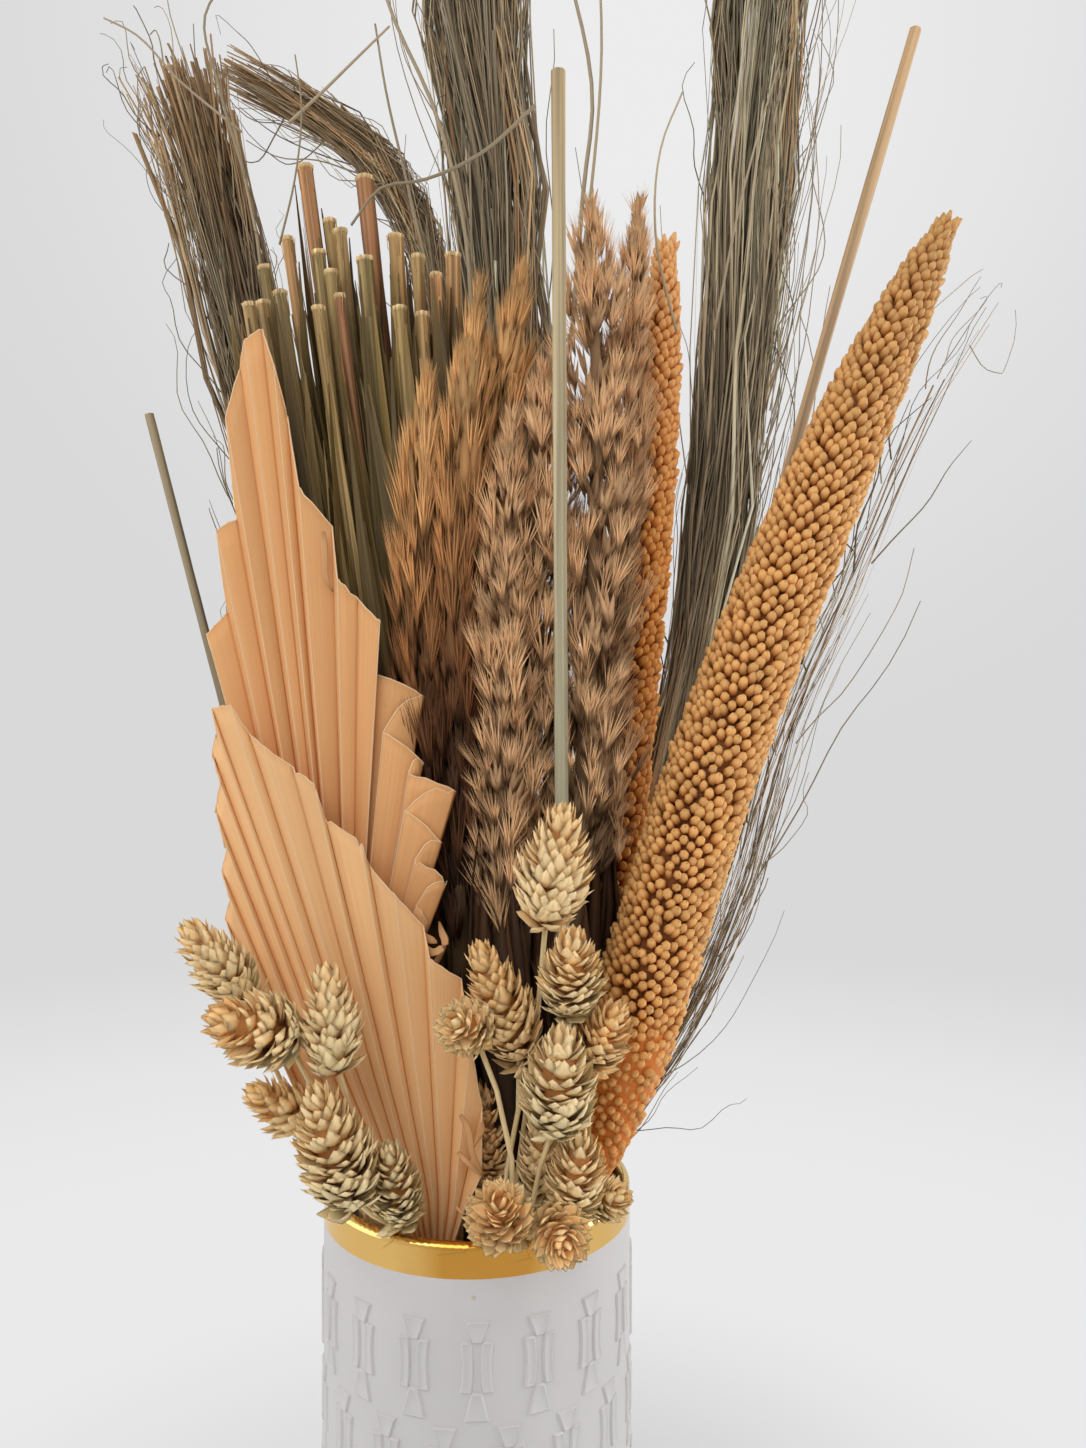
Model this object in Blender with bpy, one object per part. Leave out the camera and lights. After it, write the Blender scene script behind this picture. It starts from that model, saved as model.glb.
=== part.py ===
"""A vase of dried flowers: a porcelain cylinder vase with a gold rim that holds two sun-cut palm
spears, two millet ears, canary grass, reed plumes, cut straws, thin sticks and broom-grass bundles.

Frame: origin at the centre of the vase's underside, +Z up, -Y towards the front of the bouquet.
Sizes in the tables are millimetres; the meshes are in metres.
"""

import math

import bmesh
import bpy
from mathutils import Vector

MM = 0.001

# ---------------------------------------------------------------- driving dimensions
VASE_RADIUS = 48.0
VASE_HEIGHT = 200.0
WALL = 4.0
BASE = 7.0
LIP = 2.0  # radius of the rounded rim
FOOT_BEVEL = 1.5
VASE_SIDES = 48
LIP_STEPS = 6

STEM_END = BASE + 0.8  # stems stand just clear of the vase's floor
HUB = (0.0, -8.0)  # the stems draw together towards this point as they go down
SQUEEZE = 0.85  # a stem's distance from the hub at the floor, over that at the rim

STEM_R = 0.9
STEM_SIDES = 7

# ---------------------------------------------------------------- colours (linear)
PORCELAIN = (0.58, 0.57, 0.57, 1.0)
PALM = (0.72, 0.42, 0.22, 1.0)
MILLET = (0.52, 0.29, 0.09, 1.0)
CANARY = (0.60, 0.48, 0.28, 1.0)
PLUME_RUST = (0.40, 0.20, 0.08, 1.0)
PLUME_PINK = (0.42, 0.28, 0.18, 1.0)
STRAW = (0.36, 0.31, 0.17, 1.0)
STICK = (0.50, 0.44, 0.27, 1.0)
BROOM = (0.20, 0.16, 0.11, 1.0)

# ---------------------------------------------------------------- the plants
# Canary grass: where the stem crosses the rim, points that it bends through, the head's base, the
# head's tip and the head's radius.
CANARY_GRASS = (
    ((11.7, -25.5), ((17, -31, 240), (19.5, -34, 262)), (21, -41, 287), (27, -43, 320), 10.3),
    ((26, -32.5), ((28, -36, 228), (28, -38, 248)), (28, -42, 263), (29, -52, 287), 8.6),
    ((9, -31), ((11, -32, 222),), (15, -36, 247), (2, -40, 281), 8.8),
    ((12, -38), ((12.5, -43, 216), (8, -44, 240)), (2, -46, 258), (-4, -60, 265), 7.2),
    ((32, -27), ((34, -31, 225),), (34, -37, 247), (42, -44, 265), 7.6),
    ((16.3, -36.5), ((19, -41, 216),), (24, -48, 232), (26, -52, 261), 10.0),
    ((22, -35.5), ((25, -39, 204),), (29, -44, 208), (31, -48, 232), 7.8),
    ((7, -40.5), ((8, -45, 204.5),), (9, -50, 205), (9, -65, 221), 8.6),
    ((19.8, -37.3), ((21.5, -42, 204.5),), (24, -48, 206), (27, -64, 205), 7.8),
    ((30.6, -29.6), ((34, -33, 204.5),), (36.4, -37, 206), (43.6, -44, 213), 5.8),
    ((4, -20), (), (5, -22, 208), (3, -24, 237), 5.8),
    ((19.4, -31), (), (19.4, -32, 207), (20, -34, 232), 5.8),
    ((-33, -25), ((-41, -28, 212), (-57.5, -31, 243)), (-62, -42, 266), (-78, -47, 288), 7.6),
    ((-25.5, -33), ((-29, -37.5, 206), (-43, -43, 240)), (-48, -48.5, 257), (-66, -65, 267), 9.8),
    ((-31.2, -27.8), ((-31.8, -31, 215), (-32.5, -38, 230)), (-35, -53, 250), (-40, -44.5, 276), 7.8),
    ((-28.5, -30.5), ((-33, -33.5, 206), (-39, -36, 217)), (-46, -38, 230), (-62, -42, 241), 7.2),
    ((-22, -35.5), ((-27, -41, 205),), (-31, -52, 213), (-40, -58, 247), 10.0),
    ((-18, -37.3), (), (-19, -41, 204), (-22, -49, 228), 7.0),
)

# Millet: rim crossing, where the ear starts and the points that it runs through, largest radius.
MILLET_EARS = {
    "millet_front": ((36, -12), ((36.5, -13, 202), (44, -14, 238), (54.5, -14, 273),
                                 (73, -14, 331), (111, -14, 426), (144, -14, 496)), 15.0),
    "millet_back": ((28, 10), ((33, 13, 228), (36, 15, 247), (40, 17, 267), (48, 18, 350), (57, 18, 444),
                               (62, 18, 504)), 11.8),
}

# Reed plumes: rim crossing, the points that the plume runs through from its lowest branch to its
# tip, and whether it is one of the rust-brown ones.
PLUMES = (
    ((-13, -10), ((-12, -9.5, 262), (-16, -9.5, 340), (-17, -9.5, 400), (-15, -9.5, 452)), True),
    ((-5, -14), ((-4, -13, 258), (-6, -13, 340), (-4, -13, 420), (1, -13, 478)), True),
    ((2, -8), ((2, -6, 262), (2, -6, 340), (5, -6, 420), (14, -6, 488)), True),
    ((12, -20), ((9, -20, 268), (8.5, -20, 340), (10, -20, 400), (12, -20, 442)), False),
    ((14, -12), ((14, -12, 262), (17, -12, 340), (19, -12, 400), (21, -12, 460)), False),
    ((21, -16), ((29, -14, 268), (33.5, -14, 340), (37, -14, 420), (35, -14, 508)), False),
    ((24, -6), ((34, -2, 272), (39, -2, 340), (47, -2, 420), (51, -2, 515)), False),
)
PLUME_R = 5.2

# Sticks: rim crossing, points to the top, radius.
STICKS = {
    "stick_left": ((-39, 2), ((-55, 3, 250), (-82, 4, 349), (-106, 4, 442)), 1.4),
    "stick_middle": ((26.8, -27.5), ((26, -28, 320), (25, -28, 533)), 2.0),
    "stick_right": ((37, 3), ((66, 6, 300), (102.5, 6, 434), (141, 6, 567)), 1.9),
}

# Cut straws stand in rows from the front to the back of the bunch. A row gives its depth at the rim
# and at the cut ends, where its first straw crosses the rim, and each straw's cut end (x, z) and
# radius.
STRAW_PITCH = 5.5
STRAW_FOOT_R = 1.8
STRAW_ROWS = (
    (-3.0, 0.0, -27.0, ((-73, 476, 2.0), (-63, 480, 1.9), (-51, 475, 1.9), (-44, 479, 1.5),
                        (-25, 475, 2.0), (-18, 473, 2.0))),
    (2.5, 6.0, -24.0, ((-70, 479, 2.0), (-48, 489, 1.9), (-37, 493, 2.7), (-20, 494, 1.9),
                       (-14, 488, 1.9))),
    (8.0, 12.0, -26.5, ((-71, 493, 1.9), (-53, 498, 1.9), (-46, 505, 1.9), (-28, 503, 2.5),
                        (-9, 497, 2.2))),
    (13.5, 18.0, -22.0, ((-65, 505, 1.9), (-59, 529, 2.3), (-51, 511, 1.9), (-39, 525, 2.8))),
)

# Broom-grass bundles: rim crossing, then points with the bundle's half width and half depth there.
BUNDLES = {
    "broom_grass_left": ((-22, 23), (
        (-42, 28, 299, 10, 7), (-68, 29, 399, 14, 8), (-84, 29, 488, 15, 8), (-96, 29, 535, 16, 8),
        (-106, 29, 572, 21, 8))),
    "broom_grass_bent": ((-8, 25), (
        (-10, 32, 300, 6, 5), (-13, 36, 400, 6.5, 5), (-17, 41, 480, 7, 5), (-21, 43, 516, 7, 5),
        (-31, 43, 538, 7, 5), (-62, 43, 562, 8, 5), (-95, 43, 578, 7, 5))),
    "broom_grass_middle": ((6, 24), (
        (9, 27, 300, 8, 7), (9, 28, 380, 11, 8), (9, 28, 454, 14, 9), (6, 28, 522, 17, 9),
        (-1, 28, 591, 20, 9), (-6, 28, 645, 21, 9))),
    "broom_grass_right": ((23, 23), (
        (37, 33, 240, 6.2, 5), (55, 35, 282, 8, 6.5), (67, 35, 333, 10, 7), (77, 35, 386, 12, 8),
        (88, 35, 456, 15, 9), (92, 35, 526, 16.5, 9), (99, 35, 648, 16, 9))),
    "broom_grass_trailing": ((37.5, 11), (
        (45, 11, 209, 2.8, 2.5), (66, 10, 243, 5, 4), (84, 9, 285, 6, 4), (104, 8, 350, 6, 4),
        (120, 8, 383, 5, 3.5), (146, 8, 448, 3.5, 2.5), (172, 8, 485, 1.5, 1.5))),
}

# Palm spears: the stalk's rim crossing, the left and right ends of the neck where the fan opens, the
# fan's depth at x = 0 and its change over x, and the cut end of each fold (x, z) from the left edge
# round to the right one.
PALMS = {
    "palm_spear_front": ((-12, -29), ((-39, -15, 208), (-2, -33, 203)), (-33.0, -0.1), (
        (-66, 269), (-73, 285), (-71, 291), (-74, 299), (-72, 306), (-76, 317), (-74, 325),
        (-77, 334), (-75, 340), (-77, 347), (-71, 348), (-66, 340), (-61, 336), (-53, 330),
        (-46, 325), (-43, 315), (-32, 308), (-30, 301), (-22, 293), (-14, 284), (-12, 275),
        (-3, 269), (0, 250), (3, 232), (3, 214))),
    "palm_spear_back": ((-34, -12), ((-41, -13, 226), (-35, -13, 226)), (-25.0, -0.155), (
        (-70, 330), (-77, 352), (-82, 370), (-76, 377), (-79, 402), (-73, 405), (-76, 436),
        (-72, 451), (-70, 459), (-65, 463), (-61, 452), (-57, 436), (-53, 414), (-43, 402),
        (-41, 386), (-35, 380), (-28, 373), (-28, 358), (-16, 351), (-18, 333), (-7, 323),
        (-11, 307), (-9, 295), (-14, 281))),
}
PALM_THICK = 0.9
PALM_STALK_R = 2.2
PALM_NECK = 24.0  # height over which the stalk opens into the fan
PALM_FOLD = 0.42  # fold depth over the width of the two flats beside it
PALM_FOLD_MAX = 2.6
PALM_ROWS = (0.3, 0.62, 1.0)


def clear():
    for item in list(bpy.data.objects):
        bpy.data.objects.remove(item)


def material(name, colour, roughness=0.8, metallic=0.0):
    found = bpy.data.materials.get(name)
    if found:
        return found
    new = bpy.data.materials.new(name)
    new.use_nodes = True
    shader = new.node_tree.nodes["Principled BSDF"]
    shader.inputs["Base Color"].default_value = colour
    shader.inputs["Roughness"].default_value = roughness
    shader.inputs["Metallic"].default_value = metallic
    return new


def add(name, verts, faces, finish):
    """A named object from points in millimetres, with its faces turned outwards."""
    mesh = bpy.data.meshes.new(name)
    mesh.from_pydata([tuple(c * MM for c in v) for v in verts], [], faces)
    work = bmesh.new()
    work.from_mesh(mesh)
    bmesh.ops.recalc_face_normals(work, faces=work.faces)
    work.to_mesh(mesh)
    work.free()
    mesh.materials.append(finish)
    piece = bpy.data.objects.new(name, mesh)
    bpy.context.scene.collection.objects.link(piece)
    return piece


def foot(rim):
    """Where a stem that crosses the rim at this point stands inside the vase."""
    x = HUB[0] + SQUEEZE * (rim[0] - HUB[0])
    y = HUB[1] + SQUEEZE * (rim[1] - HUB[1])
    return Vector((x, y, STEM_END))


def spline(points, start, counts):
    """Points along a smooth curve through the given ones, from points[start] to the last."""
    pts = [Vector(p) for p in points]
    pts.append(2 * pts[-1] - pts[-2])
    if start == 0:
        pts.insert(0, 2 * pts[0] - pts[1])
        start = 1
    out = [pts[start].copy()]
    for leg, count in enumerate(counts):
        a, b, c, d = pts[start + leg - 1 : start + leg + 3]
        ab, bc, cd = ((q - p).length ** 0.5 for p, q in ((a, b), (b, c), (c, d)))
        into = ((b - a) / ab - (c - a) / (ab + bc) + (c - b) / bc) * bc
        away = ((c - b) / bc - (d - b) / (bc + cd) + (d - c) / cd) * bc
        for step in range(1, count + 1):
            t = step / count
            h1 = 2 * t**3 - 3 * t**2 + 1
            h2 = t**3 - 2 * t**2 + t
            h3 = t**3 - t**2
            out.append(h1 * b + h2 * into + (1 - h1) * c + h3 * away)
    return out


def sweep(name, centres, radii, sides, finish, lumps=0.0, flutes=0.0, phase=0.0):
    """A closed tube through the centres. A radius is a number or a (half width, half depth) pair.
    lumps swells and pinches it in a chequer; flutes does the same along its whole length."""
    verts, faces = [], []
    across = Vector((1.0, 0.0, 0.0))
    count = len(centres)
    for ring, centre in enumerate(centres):
        ahead = centres[min(ring + 1, count - 1)] - centres[max(ring - 1, 0)]
        ahead.normalize()
        across = (across - across.dot(ahead) * ahead).normalized()
        deep = ahead.cross(across)
        radius = radii[ring]
        wide, thick = radius if isinstance(radius, tuple) else (radius, radius)
        for side in range(sides):
            turn = math.tau * (side + phase) / sides
            swell = 1.0
            if lumps and 0 < ring < count - 1:
                swell += lumps if (ring + side) % 2 else -lumps
            if flutes:
                swell += flutes if side % 2 else -flutes
            offset = math.cos(turn) * wide * across + math.sin(turn) * thick * deep
            verts.append(centre + swell * offset)
    for ring in range(count - 1):
        for side in range(sides):
            a = ring * sides + side
            b = ring * sides + (side + 1) % sides
            faces.append((a, b, b + sides, a + sides))
    faces.append(tuple(reversed(range(sides))))
    faces.append(tuple(range((count - 1) * sides, count * sides)))
    return add(name, verts, faces, finish)


def build_vase():
    """The cylinder: a turned wall with a rounded lip, a flat base and an open inside."""
    outer, inner = VASE_RADIUS, VASE_RADIUS - WALL
    lip_z = VASE_HEIGHT - LIP
    profile = [(0.0, 0.0), (outer - FOOT_BEVEL, 0.0), (outer, FOOT_BEVEL), (outer, lip_z)]
    for step in range(1, LIP_STEPS):
        turn = math.pi * step / LIP_STEPS
        profile.append((outer - LIP + LIP * math.cos(turn), lip_z + LIP * math.sin(turn)))
    profile += [(inner, lip_z), (inner, BASE + 5.0), (inner - 4.0, BASE), (0.0, BASE)]
    work = bmesh.new()
    row = [work.verts.new((r * MM, 0.0, z * MM)) for r, z in profile]
    edges = [work.edges.new(pair) for pair in zip(row, row[1:])]
    bmesh.ops.spin(
        work,
        geom=row + edges,
        axis=(0, 0, 1),
        cent=(0, 0, 0),
        angle=math.tau,
        steps=VASE_SIDES,
        use_merge=True,
    )
    bmesh.ops.remove_doubles(work, verts=work.verts, dist=0.00001)
    bmesh.ops.recalc_face_normals(work, faces=work.faces)
    mesh = bpy.data.meshes.new("vase")
    work.to_mesh(mesh)
    work.free()
    mesh.materials.append(material("porcelain", PORCELAIN, 0.45))
    mesh.shade_smooth()
    mesh.set_sharp_from_angle(angle=math.radians(40))
    bpy.context.scene.collection.objects.link(bpy.data.objects.new("vase", mesh))


def build_canary_grass():
    """Each stem with the scaly egg of bracts that grows on it, as one piece."""
    profile = (0.55, 0.92, 1.0, 0.86, 0.58, 0.16)
    for index, (rim, bends, base, tip, radius) in enumerate(CANARY_GRASS, 1):
        base, tip = Vector(base), Vector(tip)
        axis = tip - base
        route = [foot(rim), Vector((*rim, VASE_HEIGHT)), *bends, base, base + axis * 0.1]
        legs = [1] * len(bends) + [2 if not bends else 1]
        stem = [route[0]] + spline(route, 1, legs)
        centres, radii = list(stem), [STEM_R] * len(stem)
        for step, share in enumerate(profile):
            centres.append(base + axis * (step + 0.45) / (len(profile) - 0.55))
            radii.append(radius * share)
        sweep(f"canary_grass_{index}", centres, radii, STEM_SIDES,
              material("canary_grass", CANARY, 0.85), lumps=0.1)


def ear_radius(t, largest):
    """A millet ear's radius at a share of its length: narrow foot, full middle, round-nosed taper."""
    swell = min(1.0, 0.38 + 3.4 * t)
    nose = max(0.0, (t - 0.55) / 0.47)
    return largest * swell * math.sqrt(1.0 - nose**2)


def build_millet():
    for name, (rim, points, largest) in MILLET_EARS.items():
        route = [foot(rim), Vector((*rim, VASE_HEIGHT - 3)), *(Vector(p) for p in points)]
        stem = [route[0], route[1]]
        ear = spline(route, 2, [3, 2, 4, 5, 4])
        last = len(ear) - 1
        centres = stem + ear
        radii = [2.3, 2.3] + [ear_radius(i / last, largest) for i in range(last + 1)]
        radii[2] = 3.4
        sweep(name, centres, radii, 12, material("millet", MILLET, 0.6), lumps=0.035)


def build_plumes():
    for index, (rim, points, rusty) in enumerate(PLUMES, 1):
        colour = PLUME_RUST if rusty else PLUME_PINK
        finish = material("plume_rust" if rusty else "plume_pink", colour, 0.9)
        route = [foot(rim), Vector((*rim, VASE_HEIGHT)), *(Vector(p) for p in points)]
        centres = [route[0]] + spline(route, 1, [2, 3, 3, 3])
        radii = [1.2, 1.2, 1.3]
        tail = len(centres) - len(radii)
        for step in range(tail):
            t = step / (tail - 1)
            radii.append(PLUME_R * (0.62 + 0.38 * math.sin(min(1.0, t / 0.6) * math.pi / 2))
                         * (1.0 - 0.85 * t**5))
        sweep(f"plume_{index}", centres, radii, 8, finish, lumps=0.1)


def build_sticks():
    for name, (rim, points, radius) in STICKS.items():
        route = [foot(rim), Vector((*rim, VASE_HEIGHT)), *(Vector(p) for p in points)]
        centres = [route[0]] + spline(route, 1, [1] * len(points))
        sweep(name, centres, [radius] * len(centres), 8, material("stick", STICK, 0.7))


def build_straws():
    index = 0
    for rim_y, top_y, first_x, tops in STRAW_ROWS:
        for place, (x, z, radius) in enumerate(tops):
            index += 1
            rim = (first_x + place * STRAW_PITCH, rim_y)
            centres = [foot(rim), Vector((*rim, VASE_HEIGHT)), Vector((x, top_y, z))]
            sweep(f"straw_{index}", centres, [STRAW_FOOT_R, STRAW_FOOT_R, radius], 6,
                  material("straw", STRAW, 0.7))


def build_bundles():
    for name, (rim, points) in BUNDLES.items():
        route = [foot(rim), Vector((*rim, VASE_HEIGHT - 6)), *(Vector(p[:3]) for p in points)]
        thin = name == "broom_grass_trailing"
        start = (2.2, 2.2) if thin else (5.2, 4.6)
        sizes = [start, *(tuple(p[3:]) for p in points)]
        centres, radii = [route[0]], [start]
        curve = spline(route, 1, [2] * len(points))
        for step, centre in enumerate(curve):
            low, high = sizes[step // 2], sizes[min(step // 2 + step % 2, len(sizes) - 1)]
            centres.append(centre)
            radii.append(tuple((p + q) / 2 for p, q in zip(low, high)))
        sweep(name, centres, radii, 10 if not thin else 8, material("broom_grass", BROOM, 0.9),
              flutes=0.08)


def build_palms():
    """A fan of flats folded against each other, drawn together into a stalk at its foot."""
    for name, (rim, (left, right), (depth, slope), ends) in PALMS.items():
        last = len(ends) - 1
        down = foot(rim)
        rows = []
        for level, width, y in ((down.z, 2.4, down.y), (right[2] - PALM_NECK, 2.4, rim[1])):
            x_mid = down.x + (rim[0] - down.x) * (level - STEM_END) / (VASE_HEIGHT - STEM_END)
            rows.append([(x_mid + width * (2 * i / last - 1), y, level, PALM_STALK_R)
                         for i in range(last + 1)])
        necks = [Vector(left).lerp(Vector(right), i / last) for i in range(last + 1)]
        for share in (0.0, *PALM_ROWS):
            row = []
            line = [neck.lerp(Vector((x, neck.y, z)), share) for neck, (x, z) in zip(necks, ends)]
            for i, spot in enumerate(line):
                beside = line[min(i + 1, last)] - line[max(i - 1, 0)]
                fold = min(PALM_FOLD_MAX, PALM_FOLD * beside.length / 2)
                plane = depth + slope * spot.x
                blend = min(1.0, share / 0.3)
                y = spot.y + (plane - spot.y) * blend
                y += (fold if i % 2 else -fold) * (0.4 + 0.6 * blend)
                row.append((spot.x, y, spot.z, PALM_THICK / 2))
            rows.append(row)
        verts, faces = [], []
        wide = last + 1
        for sign in (-1, 1):
            for row in rows:
                verts += [(x, y + sign * thick, z) for x, y, z, thick in row]
        back = len(rows) * wide

        def quad(a, b, c, d):
            faces.append((a, b, c))
            faces.append((a, c, d))

        for r in range(len(rows) - 1):
            for i in range(last):
                a = r * wide + i
                quad(a, a + 1, a + wide + 1, a + wide)
                quad(back + a, back + a + wide, back + a + wide + 1, back + a + 1)
            for i, flip in ((0, True), (last, False)):
                a, b = r * wide + i, (r + 1) * wide + i
                quad(a, b, back + b, back + a) if flip else quad(a, back + a, back + b, b)
        for r, flip in ((0, False), (len(rows) - 1, True)):
            for i in range(last):
                a = r * wide + i
                quad(a, back + a, back + a + 1, a + 1) if not flip else quad(
                    a, a + 1, back + a + 1, back + a)
        add(name, verts, faces, material("palm", PALM, 0.75))


def main():
    clear()
    build_vase()
    build_palms()
    build_millet()
    build_canary_grass()
    build_plumes()
    build_sticks()
    build_straws()
    build_bundles()


main()
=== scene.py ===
"""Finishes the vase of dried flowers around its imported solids: porcelain, palm, millet, grasses and straw."""

import math
from collections import namedtuple

import bpy
import numpy as np
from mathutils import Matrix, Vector


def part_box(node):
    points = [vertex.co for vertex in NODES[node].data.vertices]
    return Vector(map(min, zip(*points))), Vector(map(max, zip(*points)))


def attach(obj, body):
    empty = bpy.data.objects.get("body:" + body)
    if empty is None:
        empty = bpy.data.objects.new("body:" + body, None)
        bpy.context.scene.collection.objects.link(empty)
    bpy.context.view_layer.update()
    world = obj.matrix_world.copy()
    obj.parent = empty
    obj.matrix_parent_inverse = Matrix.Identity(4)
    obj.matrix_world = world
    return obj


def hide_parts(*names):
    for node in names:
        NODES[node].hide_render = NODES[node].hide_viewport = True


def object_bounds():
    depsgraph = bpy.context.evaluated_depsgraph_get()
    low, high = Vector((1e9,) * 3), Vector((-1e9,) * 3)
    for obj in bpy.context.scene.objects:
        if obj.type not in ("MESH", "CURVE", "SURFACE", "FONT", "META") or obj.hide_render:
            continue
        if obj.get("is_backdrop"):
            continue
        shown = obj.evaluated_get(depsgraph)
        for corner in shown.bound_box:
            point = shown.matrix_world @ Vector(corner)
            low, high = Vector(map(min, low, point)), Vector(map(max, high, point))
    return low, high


bl_info = {
    "name": "Vase of dried flowers",
    "version": (1, 0, 0),
    "blender": (4, 5, 0),
    "location": "View3D > Sidebar > Dried flowers",
    "description": "Models and finishes a porcelain vase of palm spears, millet, plumes, straws and grasses",
    "category": "Object",
}

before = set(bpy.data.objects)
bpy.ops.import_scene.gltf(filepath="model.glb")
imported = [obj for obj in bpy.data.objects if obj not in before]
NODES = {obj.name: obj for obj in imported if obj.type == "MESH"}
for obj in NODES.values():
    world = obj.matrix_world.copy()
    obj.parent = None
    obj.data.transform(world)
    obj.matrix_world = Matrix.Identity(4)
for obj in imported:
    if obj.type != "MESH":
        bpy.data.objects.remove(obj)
MM = 0.001
GOLDEN_ANGLE = math.pi * (3 - math.sqrt(5))


def paint(red, green, blue):
    """A colour as it is given, 0 to 255, as the linear values that a shader takes."""
    return tuple((c / 12.92 if c <= 0.04045 else ((c + 0.055) / 1.055) ** 2.4)
                 for c in (red / 255, green / 255, blue / 255))


# ---------------------------------------------------------------- reading the solids

def joined(node):
    """A solid's points, each once, with the points that share an edge with each, and its foot's points."""
    mesh = NODES[node].data
    points = np.empty(len(mesh.vertices) * 3)
    mesh.vertices.foreach_get("co", points)
    points = points.reshape(-1, 3)
    _, first, index = np.unique(np.round(points, 5), axis=0, return_index=True, return_inverse=True)
    points, index = points[first], index.ravel()
    faces = index[np.array([p.vertices[:] for p in mesh.polygons])]
    near = [set() for _ in points]
    for a, b, c in faces:
        near[a] |= {b, c}
        near[b] |= {a, c}
        near[c] |= {a, b}
    corners = points[faces]
    normals = np.cross(corners[:, 1] - corners[:, 0], corners[:, 2] - corners[:, 0])
    facing_down = normals[:, 2] < -0.8 * np.linalg.norm(normals, axis=1)
    at_foot = corners[:, :, 2].mean(1) < points[:, 2].min() + 4 * MM
    return points, near, set(faces[facing_down & at_foot].ravel())


def swept_rings(node):
    """The rings of a swept solid, from its foot to its tip, each as an array of points."""
    points, near, ring = joined(node)
    seen, rings = set(), []
    while ring:
        rings.append(points[sorted(ring)])
        seen |= ring
        ring = {b for a in ring for b in near[a]} - seen
    return rings


def unit(vectors):
    """Vectors at length one."""
    return vectors / (np.linalg.norm(vectors, axis=-1, keepdims=True) + 1e-12)


class Route:
    """A swept solid's middle line as a smooth curve, with its frame and its outline along the way."""

    STEPS = 200
    TURNS = 24

    def __init__(self, rings):
        centres = np.array([ring.mean(0) for ring in rings])
        tangents = unit(np.gradient(centres, axis=0))
        side = unit(np.cross([0, 1, 0], tangents[0]))
        sides, outlines = [], []
        angles = np.linspace(-math.pi, math.pi, self.TURNS, endpoint=False)
        for ring, centre, tangent in zip(rings, centres, tangents):
            side = unit(side - tangent * (side @ tangent))
            across = np.cross(tangent, side)
            out = ring - centre
            turn = np.arctan2(out @ across, out @ side)
            order = np.argsort(turn)
            reach = np.linalg.norm(out - np.outer(out @ tangent, tangent), axis=1)
            outlines.append(np.interp(angles, turn[order], reach[order], period=2 * math.pi))
            sides.append(side)
        knots = np.r_[0, np.cumsum(np.linalg.norm(np.diff(centres, axis=0), axis=1))]
        self.length = knots[-1]
        self.knots = knots
        self.at = np.linspace(0, self.length, self.STEPS)
        self.centres = smooth_line(knots, centres, self.at)
        self.tangents = unit(np.gradient(self.centres, axis=0))
        self.outlines = np.array([np.interp(self.at, knots, column)
                                  for column in np.array(outlines).T]).T
        sides = np.array([np.interp(self.at, knots, column) for column in np.array(sides).T]).T
        self.sides = unit(sides - self.tangents * (sides * self.tangents).sum(1, keepdims=True))
        self.across = np.cross(self.tangents, self.sides)

    def look_up(self, table, where):
        """A table's rows, which follow the route, read at places along it."""
        where = np.asarray(where)
        place = np.clip(where / self.length * (self.STEPS - 1), 0, self.STEPS - 1)
        low = np.minimum(place.astype(int), self.STEPS - 2)
        share = (place - low)[..., None]
        return table[low] * (1 - share) + table[low + 1] * share

    def centre(self, where):
        """Places on the middle line."""
        return self.look_up(self.centres, where)

    def tangent(self, where):
        """The way that the route runs."""
        return unit(self.look_up(self.tangents, where))

    def outward(self, where, turn):
        """The direction straight out from the middle line at an angle round it."""
        turn = np.asarray(turn)[..., None]
        return unit(np.cos(turn) * self.look_up(self.sides, where)
                    + np.sin(turn) * self.look_up(self.across, where))

    def reach(self, where, turn):
        """How far the solid reaches from its middle line, at an angle round it."""
        outline = self.look_up(self.outlines, where)
        place = (np.asarray(turn) / (2 * math.pi) + 0.5) % 1 * self.TURNS
        low = place.astype(int) % self.TURNS
        share = place - np.floor(place)
        take = np.take_along_axis
        first = take(outline, low[..., None], -1)[..., 0]
        second = take(outline, ((low + 1) % self.TURNS)[..., None], -1)[..., 0]
        return first * (1 - share) + second * share

    def height_at(self, z):
        """How far along the route it first reaches a height."""
        above = self.centres[:, 2] >= z
        return self.at[np.argmax(above)] if above.any() else self.length


def smooth_line(knots, points, where):
    """A smooth curve through points that are given at knots, read at other places along it."""
    slopes = np.gradient(points, knots, axis=0)
    step = np.clip(np.searchsorted(knots, where, side="right") - 1, 0, len(knots) - 2)
    gap = (knots[step + 1] - knots[step])[:, None]
    t = (where - knots[step])[:, None] / gap
    return ((2 * t**3 - 3 * t**2 + 1) * points[step] + (t**3 - 2 * t**2 + t) * gap * slopes[step]
            + (-2 * t**3 + 3 * t**2) * points[step + 1] + (t**3 - t**2) * gap * slopes[step + 1])


def grown_route(node, thin):
    """A plant's route, and how far along it its head starts: at the first ring wider than a stem."""
    rings = swept_rings(node)
    route = Route(rings)
    for index, ring in enumerate(rings):
        if np.linalg.norm(ring - ring.mean(0), axis=1).mean() > thin:
            return route, route.knots[index]
    raise ValueError("the solid has no head on its stem")


# ---------------------------------------------------------------- making meshes

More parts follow.
